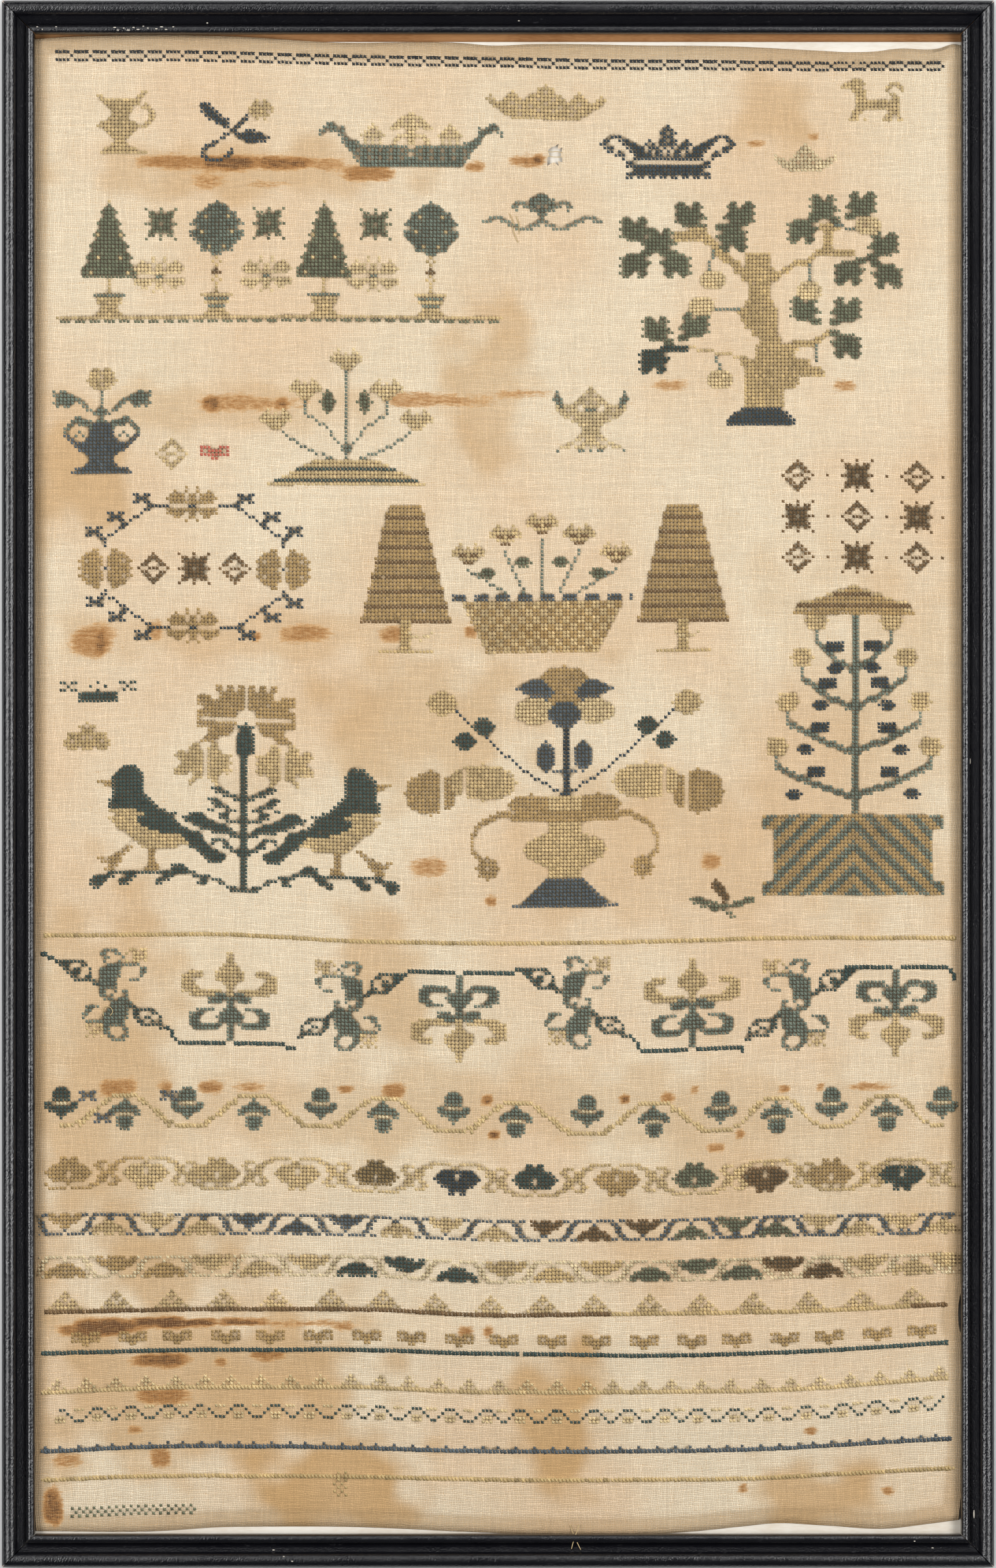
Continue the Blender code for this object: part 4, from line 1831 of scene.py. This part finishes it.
# %% Linen material
LINEN_CREAM = linear(241, 224, 195)
LINEN_PEACH = linear(236, 209, 175)
LINEN_TAN = linear(208, 168, 116)
# Edge colour: dirt, and painted shade under the moulding and in the hem's crease.
LINEN_EDGE_DIRT_AND_SHADE = linear(172, 142, 102)
# Gap colour: painted shade between the weave's threads.
LINEN_GAP_SHADE = linear(192, 154, 106)
# Painted shade between the crosses, greyer under dark threads, and in the needle holes.
LINEN_SHADE_BETWEEN_CROSSES = linear(150, 124, 84)
LINEN_SHADE_UNDER_DARK_THREADS = linear(74, 72, 60)
NEEDLE_HOLE_SHADE = linear(60, 46, 28)
RUST_LIGHT = linear(212, 164, 108)
RUST_MIDDLE = linear(168, 114, 58)
RUST_DARK = linear(100, 64, 34)
WEAVE_DEPTH = 0.22 * MM
EDGE_DIRT_AND_SHADE_STRENGTH = 0.62

linen, tree, shader = new_material("linen", roughness=0.9)
place = add_node(tree, "ShaderNodeTexCoord").outputs["Object"]
woven = add_node(tree, "ShaderNodeGroup", node_tree=weave)
feed(tree, woven.inputs["Threads"], read_attribute(tree, "weave_place").outputs["Vector"])
woven.inputs["Wander"].default_value = 2.0

cloudy = noise(tree, place, 14, 4)
threads = read_attribute(tree, "weave_place").outputs["Vector"]
speckled = noise(tree, stretched(tree, threads, 0.22, 0.8, 1), 1, 4, 0.75)
base = blend(tree, ramp(tree, cloudy, 0.38, 0.66), LINEN_CREAM, LINEN_PEACH)
base = blend(tree, read_attribute(tree, "tan").outputs["Fac"], base, LINEN_TAN)
# Painted shade and dirt: the linen darkens along its edges and in the hem's crease.
edge_dirt_and_shade = calc(tree, "MULTIPLY", read_attribute(tree, "edge").outputs["Fac"], EDGE_DIRT_AND_SHADE_STRENGTH)
base = blend(tree, edge_dirt_and_shade, base, LINEN_EDGE_DIRT_AND_SHADE)
rust_mark = read_attribute(tree, "rust").outputs["Fac"]
rough_rust = calc(tree, "ADD", rust_mark, calc(tree, "MULTIPLY_ADD", speckled, 1.5, -0.75))
base = blend(tree, ramp(tree, rough_rust, 0.1, 0.5, 0, 0.8), base, RUST_LIGHT)
base = blend(tree, ramp(tree, rough_rust, 0.36, 0.8, 0, 0.9), base, RUST_MIDDLE)
base = blend(tree, ramp(tree, rough_rust, 0.75, 1.2), base, RUST_DARK)
streaked = ramp(tree, woven.outputs["Streak"], 0.25, 0.75, 0.9, 1.07)
streaked_grey = add_node(tree, "ShaderNodeCombineColor", {0: streaked, 1: streaked, 2: streaked}).outputs[0]
base = blend(tree, 1.0, base, streaked_grey, "MULTIPLY")
# Painted shade: the gaps between the weave's threads are darkened.
base = blend(tree, calc(tree, "MULTIPLY", woven.outputs["Gap"], 0.68), base, LINEN_GAP_SHADE)
# Painted shade: where crosses are sewn the linen between them is darkened, more deeply and greyer under dark
# threads, and dark needle holes are painted at the cell corners.
sewn_share = ramp(tree, read_attribute(tree, "sewn").outputs["Fac"], 0.3, 0.95)
cells = read_attribute(tree, "cell_place").outputs["Vector"]
from_corner = add_node(tree, "ShaderNodeVectorMath", {0: cells}, operation="FRACTION").outputs["Vector"]
from_corner = add_node(tree, "ShaderNodeVectorMath", {0: from_corner, 1: (0.5, 0.5, 0)}, operation="DISTANCE")
needle_hole_shade = calc(tree, "MULTIPLY", ramp(tree, from_corner.outputs["Value"], 0.14, 0.4, 1, 0), sewn_share)
base = blend(tree, calc(tree, "MULTIPLY", sewn_share, 0.7), base, LINEN_SHADE_BETWEEN_CROSSES)
shade_under_dark_threads = ramp(tree, read_attribute(tree, "sewn_dark").outputs["Fac"], 0.4, 1, 0, 0.9)
base = blend(tree, shade_under_dark_threads, base, LINEN_SHADE_UNDER_DARK_THREADS)
base = blend(tree, calc(tree, "MULTIPLY", needle_hole_shade, 0.9), base, NEEDLE_HOLE_SHADE)
feed(tree, shader.inputs["Base Color"], base)
bump_inputs = {"Height": woven.outputs["Height"], "Distance": WEAVE_DEPTH, "Strength": 1.0}
bump = add_node(tree, "ShaderNodeBump", bump_inputs)
feed(tree, shader.inputs["Normal"], bump.outputs["Normal"])

cloth = finish_mesh("linen_cloth", cloth_mesh, linen, 60)
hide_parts("sampler_cloth")

# %% [markdown]
# ## One cross, sewn many times
# A cross is two short threads laid corner to corner, the second over the first. It is modelled once, as
# two three-sided bars that rise in the middle, with a few slightly different copies. Geometry Nodes then
# set a copy on each counted place, tilted to the cloth. The result is baked to a plain mesh for each
# thread colour, so the pieces need no modifier later.

# %% Models of the cross
LEG_LENGTH = 1.90 * MM
LEG_END_RADIUS = 0.34 * MM
LEG_SWELL = 1.45
LEG_END_DEPTH = 0.34 * MM
LEG_RISES = (0.12 * MM, 0.32 * MM)
CrossShape = namedtuple("CrossShape", "name turn_degrees spread_degrees length width")
CROSS_SHAPES = (
    CrossShape("cross_a", 0, 90, 1.0, 1.0),
    CrossShape("cross_b", 4, 86, 0.95, 1.1),
    CrossShape("cross_c", -5, 94, 1.03, 0.92),
)


def make_cross(shape):
    """Two crossed bars that swell and rise in the middle, with their ends sunk in the cloth's holes."""
    work_mesh = bmesh.new()
    for count, middle_rise in enumerate(LEG_RISES):
        radius = LEG_END_RADIUS * shape.width
        length = LEG_LENGTH * shape.length
        made = bmesh.ops.create_cone(
            work_mesh, segments=3, cap_ends=True, radius1=radius, radius2=radius, depth=length
        )
        verts = made["verts"]
        edges = {edge for vert in verts for edge in vert.link_edges}
        faces = {face for vert in verts for face in vert.link_faces}
        cut = bmesh.ops.bisect_plane(
            work_mesh, geom=[*verts, *edges, *faces], plane_co=(0, 0, 0), plane_no=(0, 0, 1)
        )
        middle = [item for item in cut["geom_cut"] if isinstance(item, bmesh.types.BMVert)]
        bmesh.ops.rotate(work_mesh, verts=[*verts, *middle], matrix=Matrix.Rotation(math.radians(90), 3, "Y"))
        for vert in verts:
            vert.co.z -= LEG_END_DEPTH
        for vert in middle:
            vert.co.y *= LEG_SWELL
            vert.co.z += middle_rise
        angle = math.radians(45 + shape.turn_degrees + count * shape.spread_degrees)
        bmesh.ops.rotate(work_mesh, verts=[*verts, *middle], matrix=Matrix.Rotation(angle, 3, "Z"))
    mesh = bpy.data.meshes.new(shape.name)
    work_mesh.to_mesh(mesh)
    work_mesh.free()
    mesh.shade_smooth()
    return bpy.data.objects.new(shape.name, mesh)


cross_models = bpy.data.collections.new("cross_models")
for shape in CROSS_SHAPES:
    cross_models.objects.link(make_cross(shape))

# %% Geometry Nodes that sew
sewing = bpy.data.node_groups.new("sew_crosses", "GeometryNodeTree")
sewing.interface.new_socket("Geometry", in_out="INPUT", socket_type="NodeSocketGeometry")
sewing.interface.new_socket("Geometry", in_out="OUTPUT", socket_type="NodeSocketGeometry")
sewing_in = sewing.nodes.new("NodeGroupInput")
sewing_out = sewing.nodes.new("NodeGroupOutput")
models = add_node(
    sewing,
    "GeometryNodeCollectionInfo",
    {"Collection": cross_models, "Separate Children": True, "Reset Children": True},
)


def named(name, kind):
    return add_node(sewing, "GeometryNodeInputNamedAttribute", {"Name": name}, data_type=kind).outputs[0]


laid = add_node(
    sewing,
    "GeometryNodeInstanceOnPoints",
    {
        "Points": sewing_in.outputs[0],
        "Instance": models.outputs[0],
        "Pick Instance": True,
        "Instance Index": named("pick", "INT"),
        "Rotation": named("tilt", "FLOAT_VECTOR"),
        "Scale": named("size", "FLOAT_VECTOR"),
    },
)
joined = add_node(sewing, "GeometryNodeRealizeInstances", {0: laid.outputs[0]})
sewing.links.new(joined.outputs[0], sewing_out.inputs[0])
print("sewing:", len(sewing.nodes), "nodes")


# %% [markdown]
# ## Thread materials
# Each colour is the same soft, matt thread. A number kept on each cross makes it a little lighter or
# darker than its neighbour, for old dyes fade unevenly, and a fine noise gives fibres to catch the light.

# %% Thread material and sewing
WORN_SHARE = 0.002
HOLE_CLEARANCE = 1.25
SIGHT_MARGIN = 1.2 * MM
SUNK = 0.02 * MM
SLOPE_STEP = 0.5 * MM
chance = np.random.default_rng(7)


def thread_material(thread):
    material, tree, shader = new_material("thread_" + thread.name, roughness=0.88)
    place = add_node(tree, "ShaderNodeTexCoord").outputs["Object"]
    fibre = noise(tree, place, 3200, 2)
    patchy = noise(tree, place, 55, 2)
    tone = read_attribute(tree, "tone").outputs["Fac"]
    light = calc(tree, "ADD", ramp(tree, fibre, 0.3, 0.7, 0.8, 1.16), calc(tree, "MULTIPLY", tone, 0.34))
    light = calc(tree, "ADD", light, ramp(tree, patchy, 0.3, 0.7, -0.14, 0.14))
    grey = add_node(tree, "ShaderNodeCombineColor", {0: light, 1: light, 2: light}).outputs[0]
    feed(tree, shader.inputs["Base Color"], blend(tree, 1.0, linear(*thread.colour), grey, "MULTIPLY"))
    bump = add_node(tree, "ShaderNodeBump", {"Height": fibre, "Distance": 0.08 * MM, "Strength": 0.6})
    feed(tree, shader.inputs["Normal"], bump.outputs["Normal"])
    return material


def sew_thread(yarn, thread):
    """All crosses of one thread as one plain mesh."""
    places = np.array(sorted(place for place, used in crosses.items() if used == yarn))
    x, y = stitch_place(places[:, 0], places[:, 1])
    in_sight = abs(x) < SIGHT_WIDTH / 2 - SIGHT_MARGIN
    keep = (from_hole(x, y) > HOLE_CLEARANCE) & (chance.random(len(x)) > WORN_SHARE) & in_sight
    x = x[keep] + chance.normal(0, 0.05 * MM, keep.sum())
    y = y[keep] + chance.normal(0, 0.05 * MM, keep.sum())
    slope_x = (cloth_height(x + SLOPE_STEP, y) - cloth_height(x - SLOPE_STEP, y)) / (2 * SLOPE_STEP)
    slope_y = (cloth_height(x, y + SLOPE_STEP) - cloth_height(x, y - SLOPE_STEP)) / (2 * SLOPE_STEP)
    points = bpy.data.meshes.new("points")
    points.vertices.add(len(x))
    points.vertices.foreach_set("co", np.column_stack((x, y, cloth_height(x, y) - SUNK)).ravel())
    turns = np.radians(chance.normal(0, 3, len(x)))
    width = chance.normal(1, 0.04, len(x))
    bold = np.array([tuple(place) in bold_places for place in places[keep].tolist()])
    height = width * np.where(bold, BOLD_HEIGHT, 1)
    width = width * np.where(bold, BOLD_WIDTH, 1)
    paint(points, "tilt", np.column_stack((np.arctan(slope_y), -np.arctan(slope_x), turns)), "FLOAT_VECTOR")
    paint(points, "size", np.column_stack((width, height, chance.normal(1, 0.12, len(x)))), "FLOAT_VECTOR")
    paint(points, "tone", np.clip(chance.normal(0, 0.35, len(x)), -1, 1))
    paint(points, "pick", chance.integers(0, len(CROSS_SHAPES), len(x)), "INT")
    holder = bpy.data.objects.new("points", points)
    bpy.context.scene.collection.objects.link(holder)
    holder.modifiers.new("sew", "NODES").node_group = sewing
    evaluated = holder.evaluated_get(bpy.context.evaluated_depsgraph_get())
    mesh = bpy.data.meshes.new_from_object(evaluated)
    mesh.name = "stitches_" + thread.name
    bpy.data.objects.remove(holder)
    bpy.data.meshes.remove(points)
    return finish_mesh("stitches_" + thread.name, mesh, thread_material(thread), 180)


for yarn, thread in THREADS.items():
    sew_thread(yarn, thread)
for model in list(cross_models.objects):
    bpy.data.objects.remove(model)
bpy.data.collections.remove(cross_models)
print(len(crosses), "places sewn")

# %% [markdown]
# ## The moulding
# The frame is one narrow moulding, cut in four lengths and mitred. Its section is swept along each side.
# The solids have the same section in coarser steps. Here the curves are finer, and the long edges wander
# by a few hundredths of a millimetre, as old softwood under paint does.

# %% Moulding members
OUTER_BEAD_RADIUS = 2.8 * MM
OUTER_BEAD_TOP = 18 * MM
COVE_WIDTH = 3.4 * MM
COVE_TOP = 15.5 * MM
COVE_BOTTOM = 12.5 * MM
INNER_BEAD_TOP = 15.6 * MM
LIP_UNDERSIDE = 10 * MM
REBATE_WALL = 6.5 * MM
BACK_CHAMFER = 0.4 * MM
MITRE_GAP = 0.3 * MM / 2 * math.sqrt(2)
LENGTH_STEPS = 48
MEMBER_LOWERED = 0.06 * MM


def arc(centre, radii, start, end, steps):
    """Points on an ellipse's arc, from one angle to the other, in degrees."""
    angles = [math.radians(start + (end - start) * i / steps) for i in range(steps + 1)]
    return [(centre[0] + radii[0] * math.cos(a), centre[1] + radii[1] * math.sin(a)) for a in angles]


def moulding_section():
    """The section's outline as (distance from the outer side, height), clockwise from the back."""
    cove_start = 2 * OUTER_BEAD_RADIUS
    cove_end = cove_start + COVE_WIDTH
    inner_radius = (MOULDING_WIDTH - cove_end) / 2
    outer_middle = (OUTER_BEAD_RADIUS, OUTER_BEAD_TOP - OUTER_BEAD_RADIUS)
    outer_bead = arc(outer_middle, (OUTER_BEAD_RADIUS, OUTER_BEAD_RADIUS), 180, 12, 24)
    cove = [
        (cove_start + COVE_WIDTH * share, COVE_TOP * (1 - share) + COVE_BOTTOM * share)
        for share in (0.05, 0.1, 0.3, 0.6, 0.85, 0.98)
    ]
    inner_middle = (cove_end + inner_radius, INNER_BEAD_TOP - inner_radius)
    inner_bead = arc(inner_middle, (inner_radius, inner_radius), 155, 0, 20)
    behind = [
        (MOULDING_WIDTH, LIP_UNDERSIDE),
        (REBATE_WALL, LIP_UNDERSIDE),
        (REBATE_WALL, BACK_CHAMFER),
        (REBATE_WALL - BACK_CHAMFER, 0),
        (BACK_CHAMFER, 0),
        (0, BACK_CHAMFER),
    ]
    return outer_bead + cove + inner_bead + behind


def make_member(name, length, turn_degrees, material):
    """One mitred length, built along Y on the left and then turned about the frame's middle."""
    half_span = (FRAME_HEIGHT if length == FRAME_WIDTH else FRAME_WIDTH) / 2
    work_mesh = bmesh.new()
    outline = [work_mesh.verts.new((across, -1, height)) for across, height in moulding_section()]
    end_face = work_mesh.faces.new(outline)
    for step in range(LENGTH_STEPS):
        swept = bmesh.ops.extrude_face_region(work_mesh, geom=[end_face])
        end_face = next(item for item in swept["geom"] if isinstance(item, bmesh.types.BMFace))
        for vert in end_face.verts:
            vert.co.y = -1 + 2 * (step + 1) / LENGTH_STEPS
    inner = [
        face
        for face in work_mesh.faces
        if abs(face.normal.y) > 0.9 and abs(face.calc_center_median().y) < 0.99
    ]
    bmesh.ops.delete(work_mesh, geom=inner, context="FACES_ONLY")
    turn = Matrix.Rotation(math.radians(turn_degrees), 3, "Z")
    for vert in work_mesh.verts:
        across, share, height = vert.co
        along = share * (length / 2 - across - MITRE_GAP)
        wander = 0.05 * MM * math.sin(along * 61 + turn_degrees) * math.sin(along * 23 + height * 400)
        inside = min(1, (1 - abs(share)) * 12)
        lowered = MEMBER_LOWERED + wander if height > LIP_UNDERSIDE * 1.2 else 0
        vert.co = turn @ Vector((across - half_span, along, height - lowered * inside))
    bmesh.ops.recalc_face_normals(work_mesh, faces=work_mesh.faces)
    piece = finish_piece(name, work_mesh, material, 40)
    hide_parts(name.replace("wood", "frame"))
    return piece


# %% Black paint material
PAINT = (0.004, 0.004, 0.006, 1)
PAINT_WORN = (0.03, 0.03, 0.033, 1)
RAW_WOOD = linear(150, 112, 78)
WORN_TIP = 0.9 * MM

black_paint, tree, shader = new_material("black_paint", roughness=0.42)
place = add_node(tree, "ShaderNodeTexCoord").outputs["Object"]
leaning = add_node(tree, "ShaderNodeVectorRotate", {"Vector": place, "Angle": math.radians(35)}).outputs[0]
pebbles = noise(tree, stretched(tree, leaning, 1, 0.5, 1), 2000, 3)
cloudy = noise(tree, place, 60, 3)
flecks = noise(tree, stretched(tree, place, 1.0, 2.2, 1), 420, 3, 0.6)
axes = add_node(tree, "ShaderNodeSeparateXYZ", {0: place})
corner_x = calc(tree, "GREATER_THAN", calc(tree, "ABSOLUTE", axes.outputs["X"]), FRAME_WIDTH / 2 - WORN_TIP)
corner_y = calc(tree, "GREATER_THAN", calc(tree, "ABSOLUTE", axes.outputs["Y"]), FRAME_HEIGHT / 2 - WORN_TIP)
worn_tip = calc(tree, "MULTIPLY", corner_x, corner_y)
paint_colour = blend(tree, ramp(tree, flecks, 0.62, 0.74, 0, 0.8), PAINT, PAINT_WORN)
feed(tree, shader.inputs["Base Color"], blend(tree, worn_tip, paint_colour, RAW_WOOD))
feed(tree, shader.inputs["Roughness"], ramp(tree, cloudy, 0.3, 0.7, 0.17, 0.27))
shader.inputs["Specular IOR Level"].default_value = 0.9
bump = add_node(tree, "ShaderNodeBump", {"Height": pebbles, "Distance": 0.16 * MM, "Strength": 1.0})
feed(tree, shader.inputs["Normal"], bump.outputs["Normal"])

Member = namedtuple("Member", "name length turn_degrees")
MEMBERS = (
    Member("wood_left", FRAME_HEIGHT, 0),
    Member("wood_bottom", FRAME_WIDTH, 90),
    Member("wood_right", FRAME_HEIGHT, 180),
    Member("wood_top", FRAME_WIDTH, 270),
)
for member in MEMBERS:
    make_member(member.name, member.length, member.turn_degrees, black_paint)

# %% [markdown]
# ## Chips and specks
# Paint has chipped off the moulding in a few places, and pale specks lie on it. Each is a tiny squashed
# ball, set on the surface at the height that the section has there.

# %% Specks on the moulding
Speck = namedtuple("Speck", "x_px y_px width_px height_px")
SPECKS = (
    Speck(176, 42, 5, 2), Speck(181, 46, 4, 2), Speck(190, 43, 3, 2), Speck(197, 46, 6, 2),
    Speck(205, 42, 4, 2),
    Speck(212, 45, 5, 2), Speck(220, 40, 3, 2), Speck(227, 43, 3, 2), Speck(240, 44, 4, 2),
    Speck(248, 41, 5, 2),
    Speck(255, 45, 4, 2), Speck(266, 41, 3, 2), Speck(57, 41, 3, 2), Speck(65, 45, 2, 2), Speck(86, 41, 3, 2),
    Speck(318, 34, 3, 3), Speck(797, 31, 3, 2), Speck(1497, 2326, 3, 14), Speck(1433, 2378, 4, 2),
    Speck(1405, 2367, 3, 2), Speck(420, 2381, 4, 2), Speck(436, 2390, 3, 2), Speck(449, 2397, 3, 2),
    Speck(1491, 1169, 1.5, 9),
)
speck_material, tree, shader = new_material("pale_speck", roughness=0.8)
shader.inputs["Base Color"].default_value = linear(206, 198, 184)
section = [point for point in moulding_section() if point[1] > LIP_UNDERSIDE]
section_across = [point[0] for point in section]
section_height = [point[1] for point in section]


def moulding_height(x, y):
    """The height of the moulding's face at a place on the frame."""
    from_outside = min(FRAME_WIDTH / 2 - abs(x), FRAME_HEIGHT / 2 - abs(y))
    return float(np.interp(from_outside, section_across, section_height))


speck_work = bmesh.new()
for speck in SPECKS:
    x, y = x_of(speck.x_px), y_of(speck.y_px)
    made = bmesh.ops.create_icosphere(speck_work, subdivisions=2, radius=PHOTO_MM_PER_PX * MM / 2)
    bmesh.ops.scale(speck_work, verts=made["verts"], vec=(speck.width_px, speck.height_px, 1.5))
    bmesh.ops.translate(speck_work, verts=made["verts"], vec=(x, y, moulding_height(x, y) - 0.08 * MM))
finish_piece("paint_specks", speck_work, speck_material, 180)

# %% [markdown]
# ## Boards
# The white board under the cloth and the brown board behind it are plain slabs, so their solids stay
# and only get materials: card that has yellowed a little, and brown strawboard with faint fibres.

# %% Board materials
BOARD_LOOKS = (
    ("mount_board", "white_card", linear(240, 234, 222), linear(226, 214, 196), 0.75),
    ("back_board", "brown_board", linear(190, 138, 88), linear(158, 106, 60), 0.85),
)
for node, name, light_colour, dark_colour, roughness in BOARD_LOOKS:
    board, tree, shader = new_material(name, roughness)
    place = add_node(tree, "ShaderNodeTexCoord").outputs["Object"]
    cloudy = noise(tree, place, 30, 4)
    fibres = noise(tree, stretched(tree, place, 1, 6, 1), 300, 3)
    mixed = calc(tree, "ADD", calc(tree, "MULTIPLY", cloudy, 0.6), calc(tree, "MULTIPLY", fibres, 0.4))
    colour = blend(tree, ramp(tree, mixed, 0.35, 0.68), light_colour, dark_colour)
    feed(tree, shader.inputs["Base Color"], colour)
    bump = add_node(tree, "ShaderNodeBump", {"Height": fibres, "Distance": 0.05 * MM, "Strength": 0.4})
    feed(tree, shader.inputs["Normal"], bump.outputs["Normal"])
    board_mesh = frame["nodes"][node].data
    board_mesh.materials.clear()
    board_mesh.materials.append(board)
    print(node, "is now", name)

# %% [markdown]
# ## Loose threads
# A few thread ends have come away: a pale loop on the cloth, two threads across the worn hole, and a
# straw-coloured tuft over the bottom member. Each is a thin bevelled curve turned into a mesh.

# %% Thread ends
THREAD_RADIUS = 0.14 * MM
LooseThread = namedtuple("LooseThread", "points_px lift_mm")
LOOSE_THREADS = (
    LooseThread(((158, 1561), (156, 1550), (162, 1545), (170, 1548), (173, 1556), (168, 1560)), 0.5),
    LooseThread(((782, 326), (790, 338), (786, 352), (796, 371)), 0.4),
    LooseThread(((793, 330), (799, 345), (797, 358)), 0.4),
    LooseThread(((841, 231), (848, 232), (856, 230), (864, 233)), 0.1),
    LooseThread(((842, 238), (852, 240), (864, 239)), 0.1),
    LooseThread(((876, 2344), (880, 2356), (886, 2368), (892, 2380)), 0.6),
    LooseThread(((890, 2344), (884, 2358), (880, 2370), (878, 2379)), 0.6),
)
straw, tree, shader = new_material("loose_thread", roughness=0.85)
tone_place = add_node(tree, "ShaderNodeTexCoord").outputs["Object"]
tone = noise(tree, tone_place, 900, 2)
feed(tree, shader.inputs["Base Color"], blend(tree, tone, linear(226, 206, 158), linear(190, 160, 108)))


def surface_height(x, y):
    """What a loose thread lies on: the moulding, or the cloth."""
    if abs(x) > SIGHT_WIDTH / 2 or abs(y) > SIGHT_HEIGHT / 2:
        return moulding_height(x, y)
    return float(cloth_height(np.array([x]), np.array([y]))[0])


for count, loose in enumerate(LOOSE_THREADS):
    curve = bpy.data.curves.new("loose", "CURVE")
    curve.dimensions = "3D"
    curve.bevel_depth = THREAD_RADIUS
    curve.bevel_resolution = 1
    spline = curve.splines.new("NURBS")
    spline.points.add(len(loose.points_px) - 1)
    for point, (px, py) in zip(spline.points, loose.points_px):
        x, y = x_of(px), y_of(py)
        point.co = (x, y, surface_height(x, y) + loose.lift_mm * MM, 1)
    spline.use_endpoint_u = True
    spline.order_u = 3
    curve.use_fill_caps = True
    holder = bpy.data.objects.new("loose", curve)
    bpy.context.scene.collection.objects.link(holder)
    mesh = bpy.data.meshes.new_from_object(holder.evaluated_get(bpy.context.evaluated_depsgraph_get()))
    mesh.name = f"loose_thread_{count + 1}"
    bpy.data.objects.remove(holder)
    finish_mesh(mesh.name, mesh, straw, 180)

# %% Sizes and finish
dressed_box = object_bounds()
for name, box in (("CAD", cad_box), ("visual", dressed_box)):
    print(name, "box in mm:", [[round(value / MM, 1) for value in corner] for corner in box])
